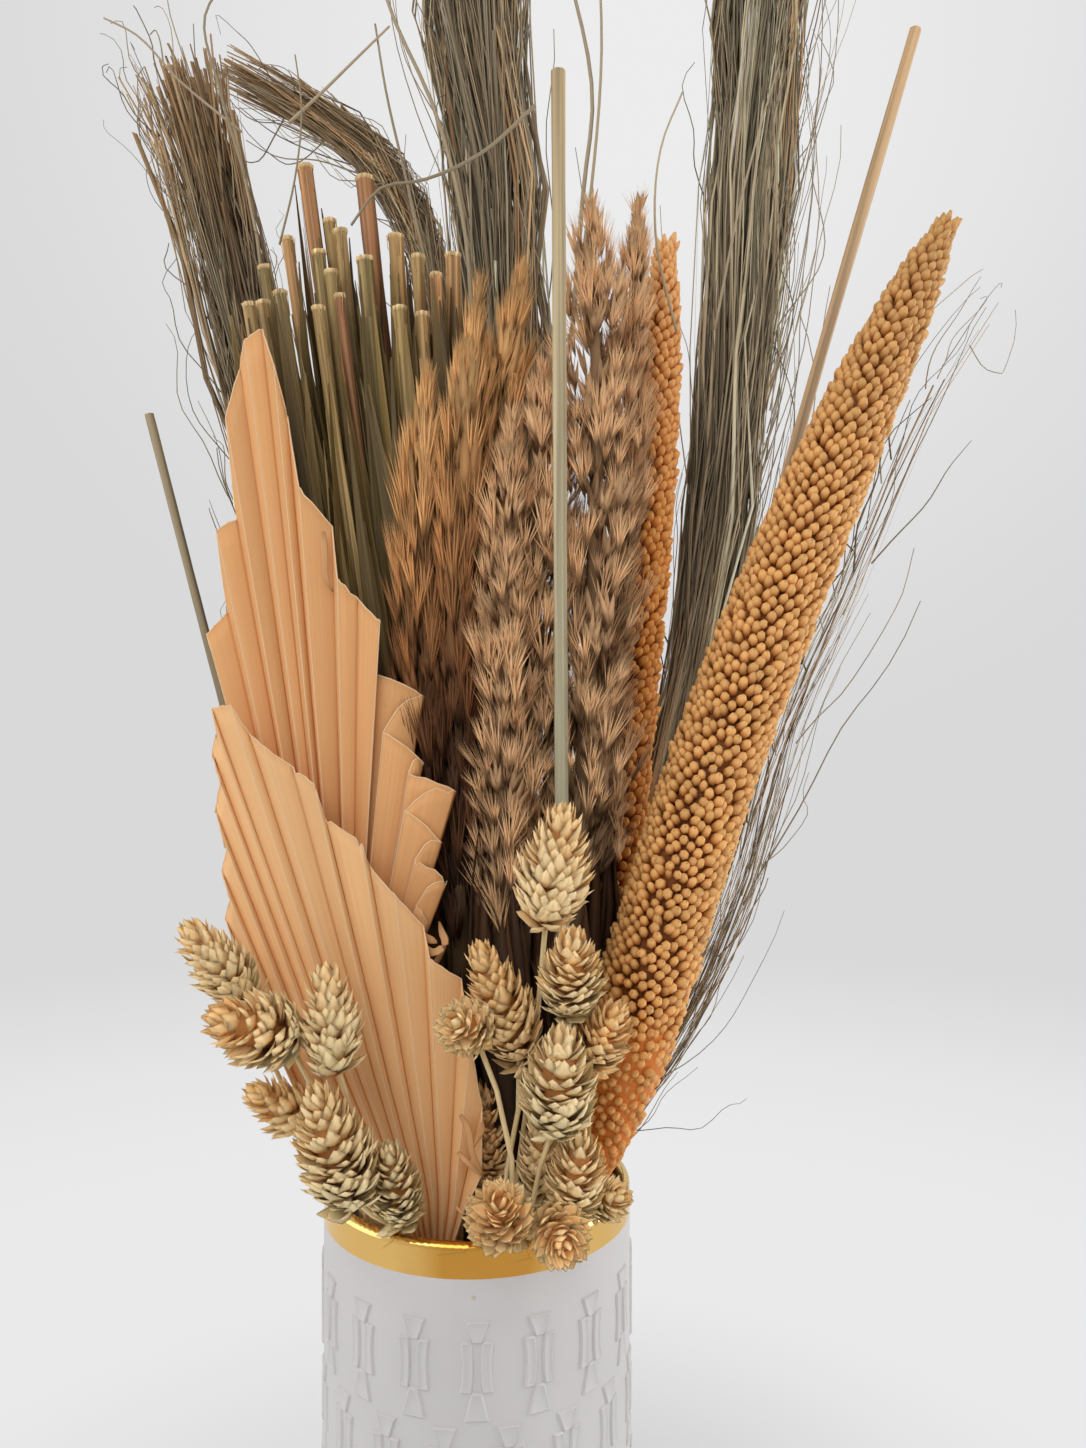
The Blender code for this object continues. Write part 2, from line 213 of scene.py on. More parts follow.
class Batch:
    """Many small closed shapes that end as one mesh, each point with its tone and its grain direction."""

    def __init__(self):
        self.points, self.faces, self.tones, self.grains = [], [], [], []
        self.count = 0

    def add(self, points, faces, tones, grains):
        """Adds a shape. Tones and grains are one for each point."""
        points = points.reshape(-1, 3)
        self.faces.append(faces.reshape(-1, 3) + self.count)
        self.points.append(points)
        self.tones.append(tones.reshape(-1, 3))
        self.grains.append(grains.reshape(-1, 3))
        self.count += len(points)

    def mesh(self, name):
        """All shapes as one mesh, with the attributes tone and grain that its finish reads."""
        points, faces = np.concatenate(self.points), np.concatenate(self.faces)
        mesh = bpy.data.meshes.new(name)
        mesh.vertices.add(len(points))
        mesh.vertices.foreach_set("co", points.astype(np.float32).ravel())
        mesh.loops.add(faces.size)
        mesh.loops.foreach_set("vertex_index", faces.astype(np.int32).ravel())
        mesh.polygons.add(len(faces))
        mesh.polygons.foreach_set("loop_start", np.arange(0, faces.size, 3, dtype=np.int32))
        mesh.update(calc_edges=True)
        tone = mesh.attributes.new("tone", "FLOAT_COLOR", "POINT")
        tones = np.concatenate(self.tones)
        tone.data.foreach_set("color", np.c_[tones, np.ones(len(tones))].astype(np.float32).ravel())
        grain = mesh.attributes.new("grain", "FLOAT_VECTOR", "POINT")
        grain.data.foreach_set("vector", np.concatenate(self.grains).astype(np.float32).ravel())
        mesh.shade_smooth()
        return mesh


def show(mesh, material, slot, *nodes):
    """Puts a finished mesh in the scene in place of its solids."""
    piece = bpy.data.objects.new(mesh.name, mesh)
    bpy.context.scene.collection.objects.link(piece)
    settle(piece, material, slot, *nodes)
    return piece


def settle(piece, material, slot, *nodes):
    """Gives a piece its finish and its body, and hides the solids that it stands for. The slot is not used."""
    piece.data.materials.clear()
    piece.data.materials.append(material)
    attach(piece, "root")
    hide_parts(*nodes)


def tubes(paths, radii, sides, flat=1.0, lean=None):
    """Closed tubes along many paths at once: their points and triangles."""
    count, stations = paths.shape[:2]
    tangents = unit(np.gradient(paths, axis=1))
    if lean is None:
        lean = np.tile([1.0, 0.0, 0.0], (count, 1))
    side = lean[:, None, :] - tangents * (lean[:, None, :] * tangents).sum(-1, keepdims=True)
    side = unit(side)
    across = np.cross(tangents, side)
    turn = np.linspace(0, 2 * math.pi, sides, endpoint=False)
    ring = (np.cos(turn)[None, None, :, None] * side[:, :, None, :]
            + flat * np.sin(turn)[None, None, :, None] * across[:, :, None, :])
    points = paths[:, :, None, :] + ring * radii[:, :, None, None]
    k = np.arange(sides)
    after = (k + 1) % sides
    low = np.arange(stations - 1)[:, None] * sides
    a, b = low + k, low + after
    quads = np.concatenate([np.stack([a, b, b + sides], -1), np.stack([a, b + sides, a + sides], -1)])
    fan = np.arange(1, sides - 1)
    foot = np.stack([np.zeros_like(fan), fan + 1, fan], -1)
    top = np.stack([np.zeros_like(fan), fan, fan + 1], -1) + (stations - 1) * sides
    faces = np.concatenate([quads.reshape(-1, 3), foot, top])
    size = stations * sides
    faces = faces[None] + (np.arange(count) * size)[:, None, None]
    return points, faces


def tube_grain(paths, radii, sides, seed):
    """Where each tube point lies on its fibre: round it and along it in metres, and a number of its own."""
    count = len(paths)
    lengths = np.concatenate([np.zeros((count, 1)),
                              np.cumsum(np.linalg.norm(np.diff(paths, axis=1), axis=2), axis=1)], axis=1)
    turn = np.linspace(0, 2 * math.pi, sides, endpoint=False)
    around = np.sin(turn)[None, None, :] * radii[:, :, None]
    own = np.random.default_rng(seed).uniform(0, 50, (count, 1, 1))
    along = np.broadcast_to(lengths[:, :, None], around.shape)
    return np.stack([around, along, np.broadcast_to(own, around.shape)], -1)


def add_tubes(batch, paths, radii, sides, tones, seed=0, flat=1.0, lean=None):
    """Adds tubes to a batch. Tones are one colour for each station of each tube."""
    points, faces = tubes(paths, radii, sides, flat, lean)
    tones = np.broadcast_to(tones, (*paths.shape[:2], 3))
    tones = np.broadcast_to(tones[:, :, None, :], points.shape)
    batch.add(points, faces, tones, tube_grain(paths, radii, sides, seed))


def curve_through(points, count):
    """A smooth curve through a few points."""
    points = np.array(points, float) * MM
    knots = np.r_[0, np.cumsum(np.linalg.norm(np.diff(points, axis=0), axis=1))]
    return smooth_line(knots, points, np.linspace(0, knots[-1], count))


def stamp(batch, template, turns, places, tones, own):
    """Adds copies of one modelled shape, each turned and stretched by a matrix and set at its place."""
    points, faces = template
    copies = np.einsum("mij,nj->mni", turns, points) + places[:, None, :]
    triangles = faces[None] + (np.arange(len(places)) * len(points))[:, None, None]
    grains = np.broadcast_to(points[None], copies.shape).copy()
    grains += own[:, None, None] * np.array([0.013, 0.0, 1.0])
    batch.add(copies, triangles, tones, grains)


# ---------------------------------------------------------------- modelling by hand

def deselect():
    """Clears the selection."""
    for thing in bpy.context.selected_objects:
        thing.select_set(False)


def start(name):
    """Names the new primitive and readies it for edit mode."""
    piece = bpy.context.active_object
    piece.name = name
    piece.data.name = name
    return piece


def pick(piece, test, kind="VERT"):
    """Enters edit mode with what passes a test selected: points, edges by both of their ends, or faces."""
    bpy.ops.object.mode_set(mode="EDIT")
    bpy.ops.mesh.select_mode(type=kind)
    bpy.ops.mesh.select_all(action="DESELECT")
    bpy.ops.object.mode_set(mode="OBJECT")
    if kind == "FACE":
        for face in piece.data.polygons:
            face.select = test(face)
    elif kind == "EDGE":
        for edge in piece.data.edges:
            edge.select = all(test(piece.data.vertices[v].co) for v in edge.vertices)
    else:
        for vertex in piece.data.vertices:
            vertex.select = test(vertex.co)
    bpy.ops.object.mode_set(mode="EDIT")


def done():
    """Leaves edit mode."""
    bpy.ops.object.mode_set(mode="OBJECT")


def as_template(piece):
    """A modelled piece as points and triangles, taken out of the scene."""
    bpy.ops.object.mode_set(mode="EDIT")
    bpy.ops.mesh.select_all(action="SELECT")
    bpy.ops.mesh.quads_convert_to_tris()
    bpy.ops.object.mode_set(mode="OBJECT")
    mesh = piece.data
    points = np.empty(len(mesh.vertices) * 3)
    mesh.vertices.foreach_get("co", points)
    faces = np.array([p.vertices[:] for p in mesh.polygons])
    bpy.data.objects.remove(piece)
    bpy.data.meshes.remove(mesh)
    return points.reshape(-1, 3), faces


def sharpen(piece):
    """Keeps the rims of cut stalks crisp and their walls round."""
    deselect()
    piece.select_set(True)
    bpy.context.view_layer.objects.active = piece
    bpy.ops.object.shade_smooth_by_angle(angle=math.radians(50))


# ---------------------------------------------------------------- finishes

def feed(tree, socket, value):
    """Joins an output to a socket, or sets the socket to a value."""
    if isinstance(value, bpy.types.NodeSocket):
        tree.links.new(value, socket)
    else:
        socket.default_value = value


def add(tree, kind, inputs=(), **settings):
    """Adds a shader node with its settings, and feeds its inputs."""
    node = tree.nodes.new("ShaderNode" + kind)
    for name, value in settings.items():
        setattr(node, name, value)
    for name, value in dict(inputs).items():
        feed(tree, node.inputs[name], value)
    return node


def reckon(tree, operation, *values):
    """What one Math node works out."""
    return add(tree, "Math", enumerate(values), operation=operation).outputs["Value"]


def stretch(tree, value, low, high, to_low=0.0, to_high=1.0, shape="LINEAR"):
    """A value between two ends, brought to between two others."""
    ends = {"Value": value, "From Min": low, "From Max": high, "To Min": to_low, "To Max": to_high}
    return add(tree, "MapRange", ends, interpolation_type=shape).outputs["Result"]


def blend(tree, share, near, far):
    """One colour that goes over into another."""
    return add(tree, "Mix", {"Factor": share, "A": near, "B": far}, data_type="RGBA").outputs["Result"]


def noise(tree, place, scale, detail=3.0):
    """Soft random clouds."""
    return add(tree, "TexNoise", {"Vector": place, "Scale": scale, "Detail": detail}).outputs["Fac"]


def streak_group():
    """Fine streaks along a fibre: lighter and darker lines for the colour, and their height."""
    group = bpy.data.node_groups.get("Fibre streaks")
    if group:
        return group
    group = bpy.data.node_groups.new("Fibre streaks", "ShaderNodeTree")
    for name, default in (("Across", 2500.0), ("Along", 60.0), ("Contrast", 0.3)):
        number_in = group.interface.new_socket(name, in_out="INPUT", socket_type="NodeSocketFloat")
        number_in.default_value = default
    group.interface.new_socket("Tone", in_out="INPUT", socket_type="NodeSocketColor")
    group.interface.new_socket("Color", in_out="OUTPUT", socket_type="NodeSocketColor")
    group.interface.new_socket("Height", in_out="OUTPUT", socket_type="NodeSocketFloat")
    given, result = group.nodes.new("NodeGroupInput").outputs, group.nodes.new("NodeGroupOutput").inputs
    grain = add(group, "Attribute", attribute_name="grain").outputs["Vector"]
    scale = add(group, "CombineXYZ", {"X": given["Across"], "Y": given["Along"], "Z": 1.0}).outputs["Vector"]
    place = add(group, "VectorMath", {0: grain, 1: scale}, operation="MULTIPLY").outputs["Vector"]
    streaks = noise(group, place, 1.0)
    gain = reckon(group, "MULTIPLY_ADD", reckon(group, "SUBTRACT", streaks, 0.5), given["Contrast"], 1.0)
    streaked = add(group, "VectorMath", {0: given["Tone"], "Scale": gain}, operation="SCALE")
    feed(group, result["Color"], streaked.outputs["Vector"])
    feed(group, result["Height"], streaks)
    return group


def plant_material(name, across, along, contrast, roughness, bump, see_through=0.0):
    """A dried plant's finish: the tone of each point, with streaks that follow its fibres."""
    material = bpy.data.materials.new(name)
    material.use_nodes = True
    tree = material.node_tree
    tone = add(tree, "Attribute", attribute_name="tone").outputs["Color"]
    streaks = add(tree, "Group", node_tree=streak_group())
    for socket, value in (("Across", across), ("Along", along), ("Contrast", contrast), ("Tone", tone)):
        feed(tree, streaks.inputs[socket], value)
    tinted, height = streaks.outputs["Color"], streaks.outputs["Height"]
    relief = add(tree, "Bump", {"Height": height, "Strength": 1.0, "Distance": bump})
    plant = tree.nodes["Principled BSDF"]
    for socket, value in (("Base Color", tinted), ("Roughness", roughness), ("Specular IOR Level", 0.3),
                          ("Normal", relief.outputs["Normal"])):
        feed(tree, plant.inputs[socket], value)
    if see_through:
        warm = add(tree, "VectorMath", {0: tinted, 1: (1.0, 0.86, 0.66)}, operation="MULTIPLY")
        through = add(tree, "BsdfTranslucent", {"Color": warm.outputs["Vector"]})
        both = {"Fac": see_through, 1: plant.outputs["BSDF"], 2: through.outputs["BSDF"]}
        feed(tree, tree.nodes["Material Output"].inputs["Surface"],
             add(tree, "MixShader", both).outputs["Shader"])
    return material


# ---------------------------------------------------------------- settings

def colour(name, description, red, green, blue):
    """A colour that can be set, from its values as given."""
    return bpy.props.FloatVectorProperty(name=name, description=description, subtype="COLOR",
                                         size=3, min=0, max=1, default=paint(red, green, blue))


def length(name, description, millimetres):
    """A length that can be set."""
    return bpy.props.FloatProperty(name=name, description=description, unit="LENGTH",
                                   precision=5, min=0, default=millimetres * MM)


def number(name, description, value):
    """A count that can be set."""
    return bpy.props.IntProperty(name=name, description=description, min=1, default=value)


def power(name, description, value):
    """The strength of a light, which can be set."""
    return bpy.props.FloatProperty(name=name, description=description, min=0, default=value)


class VaseSettings(bpy.types.PropertyGroup):
    wall: length("Wall", "Thickness of the wall", 4.0)
    floor: length("Floor", "Thickness of the floor", 7.0)
    gold_height: length("Gold band", "How far the gold comes down from the rim", 9.5)
    relief: length("Relief", "How far each motif stands out", 0.65)
    slope: length("Slope", "Width of a motif's soft edge", 0.95)
    motifs: number("Motifs", "Motifs in one row round the vase", 17)
    first_row: length("First row", "From the rim down to the first row of motifs", 20.8)
    row_pitch: length("Row pitch", "From one row of motifs to the next", 29.2)
    porcelain: colour("Porcelain", "Colour of the unglazed wall", 199, 196, 196)
    gold: colour("Gold", "Colour of the gold lustre", 232, 190, 112)


class PalmSettings(bpy.types.PropertyGroup):
    blade: colour("Blade", "Colour of the flat of a fold", 230, 182, 128)
    # The groove colour is painted shade deep in a fold.
    groove: colour("Groove", "Colour deep in a fold", 190, 116, 56)
    edge: colour("Edge", "Colour of ribs and cut edges", 244, 208, 164)
    thickness: length("Thickness", "Thickness of the blade", 0.35)


class MilletSettings(bpy.types.PropertyGroup):
    spacing: length("Spacing", "From one grain to the next", 3.22)
    grain_length: length("Grain length", "Length of a grain with its foot", 5.2)
    cap: colour("Cap", "Colour of a grain's round end", 244, 194, 126)
    side: colour("Side", "Colour of a grain's side", 208, 136, 66)
    # The gap colour is painted shade, the near-black shade deep between the grains.
    gap: colour("Gap", "Colour deep between the grains", 58, 30, 12)


class CanarySettings(bpy.types.PropertyGroup):
    bract_length: length("Bract length", "Length of the largest bracts", 9.2)
    bract_width: length("Bract width", "Width of the largest bracts", 5.9)
    spacing: length("Spacing", "From one bract to the next", 2.95)
    cream: colour("Cream", "Colour of the palest bracts", 252, 222, 168)
    tan: colour("Tan", "Colour of the sunned bracts", 250, 204, 138)
    green: colour("Green", "Colour of the greenest bracts", 220, 212, 170)
    # The gap colour is painted shade deep between the bracts.
    gap: colour("Gap", "Colour deep between the bracts", 200, 142, 86)


class PlumeSettings(bpy.types.PropertyGroup):
    tufts: number("Tufts", "Tufts of hair on one plume", 510)
    hairs: number("Hairs", "Hairs in one tuft", 15)
    hair_radius: length("Hair radius", "Half the width of a fine hair", 0.18)
    husk_radius: length("Husk radius", "Half the width of a husk", 0.36)
    rust: colour("Rust", "Colour of the rust-brown plumes", 222, 172, 113)
    pink: colour("Pink", "Colour of the pinkish plumes", 244, 194, 142)


class StrawSettings(bpy.types.PropertyGroup):
    green: colour("Green", "Colour of the greenest straws", 136, 118, 74)
    tan: colour("Tan", "Colour of the palest straws", 180, 143, 93)
    red: colour("Red", "Colour of the reddish sheaths", 168, 110, 76)
    cut: colour("Cut", "Colour of a fresh cut", 232, 200, 146)


class BroomSettings(bpy.types.PropertyGroup):
    fibres: number("Fibres", "Fibres in one bundle", 700)
    width: length("Width", "Width of a fibre", 0.95)
    grey: colour("Grey", "Colour of the greyest fibres", 146, 136, 112)
    brown: colour("Brown", "Colour of the brownest fibres", 158, 130, 96)
    pale: colour("Pale", "Colour of the palest fibres", 206, 190, 158)


class StageSettings(bpy.types.PropertyGroup):
    wall: colour("Wall", "Tone of the wall far behind", 217, 217, 218)
    halo: colour("Halo", "Tone of the wall where it is lit behind the bouquet", 236, 236, 236)
    floor: colour("Floor", "Tone of the floor", 234, 234, 235)
    front_lamp: power("Front lamp", "Power of the large lamp above", 11.0)
    left_lamp: power("Left lamp", "Power of the lamp at the left", 5.0)
    right_lamp: power("Right lamp", "Power of the lamp at the right", 10.5)
    sky: power("Sky", "Strength of the light from all round", 0.5)


# ---------------------------------------------------------------- vase

# Where the first motif of a row stands: just right of the front.
FIRST_MOTIF = -math.pi / 2 + 0.052


def model_motif(look):
    """One raised motif, modelled flat: a trapezoid, two waisted bars and a second trapezoid."""
    waisted = ((0, 1.3, 4.75), (0.25, 0.95, 4.3), (0.5, 0.8, 4.1), (0.75, 0.95, 4.3), (1, 1.3, 4.75))
    shapes = (  # lowest and highest point, rows of (height share, left, right)
        (-6.2, 0.0, ((0, -1.5, 1.5), (1, -3.6, 3.6))),
        (-19.9, -5.6, [(share, -outer, -inner) for share, inner, outer in waisted]),
        (-19.9, -5.6, waisted),
        (-27.7, -19.4, ((0, -3.6, 3.6), (1, -1.5, 1.5))),
    )
    points, faces, count = [], [], 0
    for low, high, rows in shapes:
        deselect()
        bpy.ops.mesh.primitive_grid_add(x_subdivisions=1, y_subdivisions=len(rows) - 1, size=2)
        part = start("motif")
        for vertex in part.data.vertices:
            tall, across = (vertex.co.y + 1) / 2, (vertex.co.x + 1) / 2
            _, left, right = min(rows, key=lambda row: abs(row[0] - tall))
            vertex.co = ((left + (right - left) * across) * MM, (low + (high - low) * tall) * MM, 0.0)
        pick(part, lambda co: True)
        for run, up in ((0.02, 0.0), (0.35, 0.9), (0.25, 0.2), (0.38, -0.35)):
            bpy.ops.mesh.inset(thickness=look.slope * run, depth=look.relief * up)
        shape_points, shape_faces = as_template(part)
        points.append(shape_points)
        faces.append(shape_faces + count)
        count += len(shape_points)
    return np.concatenate(points), np.concatenate(faces)


def wrapped_relief(look, radius, height):
    """Rows of motifs wrapped round the wall, every second row half a pitch round."""
    points, faces = model_motif(look)
    pitch = 2 * math.pi / look.motifs
    rows = int((height - look.first_row) / look.row_pitch)
    made_points, made_faces = [], []
    for row in range(rows):
        top = height - look.first_row - row * look.row_pitch
        for motif in range(look.motifs):
            turn = FIRST_MOTIF + (motif + 0.5 * (row % 2)) * pitch + points[:, 0] / radius
            reach = radius - 0.02 * MM + points[:, 2]
            made_faces.append(faces + len(points) * len(made_faces))
            made_points.append(np.c_[reach * np.cos(turn), reach * np.sin(turn), top + points[:, 1]])
    mesh = bpy.data.meshes.new("relief")
    mesh.from_pydata(np.concatenate(made_points).tolist(), [], np.concatenate(made_faces).tolist())
    return mesh


def model_vase(look):
    """The straight wall with a rounded lip, turned from a cylinder, with the relief joined to it."""
    radius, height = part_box("vase")[1].x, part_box("vase")[1].z
    inner = radius - look.wall
    deselect()
    bpy.ops.mesh.primitive_cylinder_add(vertices=144, radius=radius, depth=height,
                                        location=(0, 0, height / 2))
    vase = start("vase_of_porcelain")
    bpy.ops.object.transform_apply(location=True)
    near = 0.1 * MM
    pick(vase, lambda face: face.normal.z > 0.9, "FACE")
    bpy.ops.mesh.inset(thickness=look.wall)
    bpy.ops.mesh.extrude_region_move(TRANSFORM_OT_translate={"value": (0, 0, look.floor - height)})
    done()
    lip, foot, corner = (height, (radius, inner)), (0.0, (radius,)), (look.floor, (inner,))
    for (level, reaches), offset, segments in ((lip, look.wall * 0.47, 7), (foot, 1.5 * MM, 4),
                                               (corner, 4 * MM, 4)):
        pick(vase, lambda co: abs(co.z - level) < near
             and any(abs(co.xy.length - reach) < near for reach in reaches), "EDGE")
        bpy.ops.mesh.bevel(offset=offset, segments=segments, profile=0.5, affect="EDGES")
        done()
    relief = bpy.data.objects.new("relief", wrapped_relief(look, radius, height))
    bpy.context.scene.collection.objects.link(relief)
    deselect()
    relief.select_set(True)
    vase.select_set(True)
    bpy.context.view_layer.objects.active = vase
    bpy.ops.object.join()
    bpy.ops.object.shade_smooth_by_angle(angle=math.radians(40))
    return vase


def distance_from(tree, place, location, scale):
    """How far each place is from a point, which is at minus the location over the scale."""
    mapped = add(tree, "Mapping", {"Vector": place, "Location": location, "Scale": scale}).outputs["Vector"]
    return add(tree, "VectorMath", {0: mapped}, operation="LENGTH").outputs["Value"]


def porcelain_colour(tree, look, place, depth):
    """Porcelain with faint clouds, and one small fleck at the front."""
    porcelain = np.array(look.porcelain)
    clouds = stretch(tree, noise(tree, place, 30), 0.35, 0.65)
    body = blend(tree, clouds, (*(porcelain * 0.97), 1), (*(porcelain * 1.02), 1))
    off_fleck = distance_from(tree, place, (-1.7, 0.0, -185.5), (1000, 0, 1000))
    behind = reckon(tree, "MAXIMUM", reckon(tree, "MULTIPLY_ADD", depth, 100.0, 4.0), 0.0)
    fleck = stretch(tree, reckon(tree, "ADD", off_fleck, behind), 0.9, 0.2)
    return blend(tree, fleck, body, (*(porcelain * (0.88, 0.7, 0.55)), 1))


def gold_colour(tree, look, place):
    """Gold lustre with a painted reflection, darker amber and cloudy at the front; fine scratches here and
    there.
    """
    gold = np.array(look.gold)
    off_front = distance_from(tree, place, (-0.15, 1.35, 0.0), (40, 30, 0))
    # Painted reflection: towards the front the gold goes over into a darker, cloudy amber.
    painted_reflection = stretch(tree, reckon(tree, "SUBTRACT", off_front, noise(tree, place, 40, 4.0)), 0.5, -0.1)
    lustre = blend(tree, painted_reflection, (*gold, 1), (*(gold * (0.74, 0.57, 0.32)), 1))
    cells = add(tree, "TexVoronoi", {"Vector": place, "Scale": 55.0}, feature="DISTANCE_TO_EDGE")
    lines = stretch(tree, cells.outputs["Distance"], 0.012, 0.004)
    worn = stretch(tree, noise(tree, place, 80, 1.0), 0.56, 0.6, to_high=0.45)
    return blend(tree, reckon(tree, "MULTIPLY", lines, worn), lustre, (*(gold * 0.35), 1))


def porcelain_material(look, height):
    """Matt porcelain with a polished gold band round the rim, told apart by height."""
    material = bpy.data.materials.new("porcelain and gold")
    material.use_nodes = True
    tree = material.node_tree
    place = add(tree, "TexCoord").outputs["Object"]
    axes = add(tree, "SeparateXYZ", {"Vector": place}).outputs
    edge = height - look.gold_height
    gold = stretch(tree, axes["Z"], edge - 0.06 * MM, edge + 0.06 * MM)
    glaze = blend(tree, gold, porcelain_colour(tree, look, place, axes["Y"]), gold_colour(tree, look, place))
    grit = add(tree, "Bump", {"Height": noise(tree, place, 900, 2.0), "Strength": 0.6, "Distance": 0.02 * MM})
    for socket, value in (("Base Color", glaze), ("Metallic", gold),
                          ("Roughness", stretch(tree, gold, 0.0, 1.0, 0.46, 0.13)),
                          ("Normal", grit.outputs["Normal"])):
        feed(tree, tree.nodes["Principled BSDF"].inputs[socket], value)
    return material


class DRIED_OT_vase(bpy.types.Operator):
    """Model the porcelain vase with its relief and its gold rim"""

    bl_idname = "dried.vase"
    bl_label = "Vase"

    def execute(self, context):
        look = context.scene.dried_vase
        vase = model_vase(look)
        settle(vase, porcelain_material(look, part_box("vase")[1].z), "porcelain", "vase")
        return {"FINISHED"}


# ---------------------------------------------------------------- millet

# The way that a millet ear's grains stand straight out, so that the dark gaps between them show.
MILLET_SEAM = np.array([-0.35, -1.0, 0.1])

# How deep the core lies under the tips of the grains; it is painted dark as shade.
CORE_DEPTH = 3.3 * MM

# How the back ear is lit on the way up: for red, green and blue, at a fifth, three fifths and all of its
# height.
BACK_EAR_LIGHT = ((0.9, 1.2, 1.3), (0.72, 1.02, 1.3), (0.42, 0.72, 1.45))


def spiral(route, first, spacing, rng, shift=0.35):
    """Places on a head in a spiral that keeps them evenly spaced: how far along, and the angle."""
    where = np.linspace(first, route.length, 400)
    girth = 2 * math.pi * np.interp(where, route.at, route.outlines.mean(1))
    area = np.r_[0, np.cumsum((girth[1:] + girth[:-1]) / 2 * np.diff(where))]
    count = int(area[-1] / spacing**2)
    order = np.arange(count) + 0.5
    along = np.interp(order / count * area[-1], area, where)
    along += rng.uniform(-shift, shift, count) * spacing
    turn = (order * GOLDEN_ANGLE + rng.uniform(-shift, shift, count) * 0.15) % (2 * math.pi) - math.pi
    return np.clip(along, first, route.length), turn


def model_grain():
    """One millet grain: a peg that swells towards its round end, one unit long, foot at the origin."""
    deselect()
    bpy.ops.mesh.primitive_circle_add(vertices=6, radius=0.24, fill_type="NGON")
    grain = start("grain")
    pick(grain, lambda co: True)
    for rise, grow in ((0.52, 2.1), (0.27, 0.82), (0.21, 0.36)):
        bpy.ops.mesh.extrude_region_move(TRANSFORM_OT_translate={"value": (0, 0, rise)})
        bpy.ops.transform.resize(value=(grow, grow, 1))
    bpy.ops.mesh.poke(offset=-0.03)
    done()
    return as_template(grain)


def frames(up, toward):
    """Matrices that stand a shape up along one direction and turn its +Y side towards another."""
    side = unit(np.cross(toward, up))
    return np.stack([side, np.cross(up, side), up], -1)


def stem(batch, route, last, radius, tones, sides=8, seed=1):
    """A plain stem from the foot of a route up to a place on it."""
    where = np.linspace(0, last, 14)
    add_tubes(batch, route.centre(where)[None], np.full((1, 14), radius), sides, tones, seed)


def grain_tones(look, grain, share, rng):
    """Grains, painted dark as shade at the foot and pale at the round end, with a dimple, and warmer low on the
    ear.
    """
    cap, side, gap = (np.array(c) for c in (look.cap, look.side, look.gap))
    across, up = np.abs(grain[0][:, :2]).sum(1), grain[0][:, 2]
    height = up.clip(0, 1)[None, :, None]
    luck = rng.uniform(0.86, 1.12, (len(share), 1, 1))
    swell = 0.62
    to_side, to_cap = height.clip(0, swell) / swell, (height - swell).clip(0) / (1 - swell)
    # Painted shade: below the swell each grain goes over into the near-black gap colour.
    tones = np.where(height < swell, gap + (side - gap) * to_side**1.5,
                     side + (cap - side) * to_cap**0.7) * luck
    tones[:, up > 0.99] *= np.array([0.92, 0.86, 0.76])
    dimple = (across < 0.01) & (up > 0.5)
    tones[:, dimple] *= np.array([0.75, 0.62, 0.48]) * rng.uniform(0.5, 1.1, (len(share), 1, 1))
    warm = np.clip((0.22 - share) / 0.22, 0, 1)[:, None, None]
    return tones * (1 - warm * np.array([0.05, 0.22, 0.4]))


def fill_ear(batch, route, first, side):
    """The core that shows between the grains, painted dark as shade, a warmer one at its foot, and the stalk.
    """
    where = np.linspace(first * 0.985, route.length - 4 * MM, 60)
    inside = np.maximum(route.reach(where, np.zeros(60)) - CORE_DEPTH, 1.5 * MM)
    # Painted shade: the core is nearly black, so that the gaps between the grains read as shade.
    add_tubes(batch, route.centre(where)[None], inside[None], 14, side * (0.3, 0.22, 0.12))
    add_tubes(batch, route.centre(where[:12])[None], inside[None, :12] + 1.4 * MM, 14,
              side * (0.95, 0.7, 0.4))
    stem(batch, route, first, 2.0 * MM, side * 0.8)


def model_ear(look, node, grain, rng):
    """One millet ear: grains that lean towards its tip, in a spiral round a core that is painted dark as shade.
    """
    front = node == "millet_front"
    route, first = grown_route(node, 3 * MM)
    along, turn = spiral(route, first, look.spacing * (1.0 if front else 1.05), rng, 0.12)
    share = (along - first) / (route.length - first)
    count = len(along)
    outward, tangent = route.outward(along, turn), route.tangent(along)
    nose = np.clip((share - 0.95) / 0.05, 0, 1)
    seam = np.clip((outward @ unit(MILLET_SEAM) - 0.72) / 0.2, 0, 1)
    lean = 0.8 + 0.3 * rng.random(count) + 0.6 * share**2 - 0.42 * seam + 1.2 * nose
    up = unit(outward + lean[:, None] * tangent + rng.normal(size=(count, 3)) * 0.12)
    wide = look.spacing * rng.uniform(0.9, 1.07, count) * (1 - 0.2 * nose)
    tall = look.grain_length * rng.uniform(1.0, 1.25, count) * (1 + 0.5 * nose)
    foot = np.maximum(route.reach(along, turn) - tall * 0.86, 0.5 * MM)
    places = route.centre(along) + outward * foot[:, None] - tangent * (0.75 * nose * tall)[:, None]
    turned_by = frames(up, -rng.normal(size=(count, 3)))
    turned_by = turned_by * np.stack([wide, wide * rng.uniform(0.85, 1.15, count), tall], -1)[:, None, :]
    tones = grain_tones(look, grain, share, rng)
    if front:
        tones = tones * (1 - 0.22 * np.clip((share - 0.7) / 0.25, 0, 1))[:, None, None]
    else:
        lit = np.array([np.interp(share, (0.2, 0.6, 1), part) for part in BACK_EAR_LIGHT])
        tones = tones * lit.T[:, None, :]
        tones = tones * np.minimum(1, 0.9 / tones.max(-1, keepdims=True))
    ear = Batch()
    stamp(ear, grain, turned_by, places, tones, rng.uniform(0, 40, count))
    fill_ear(ear, route, first, np.array(look.side))
    return ear


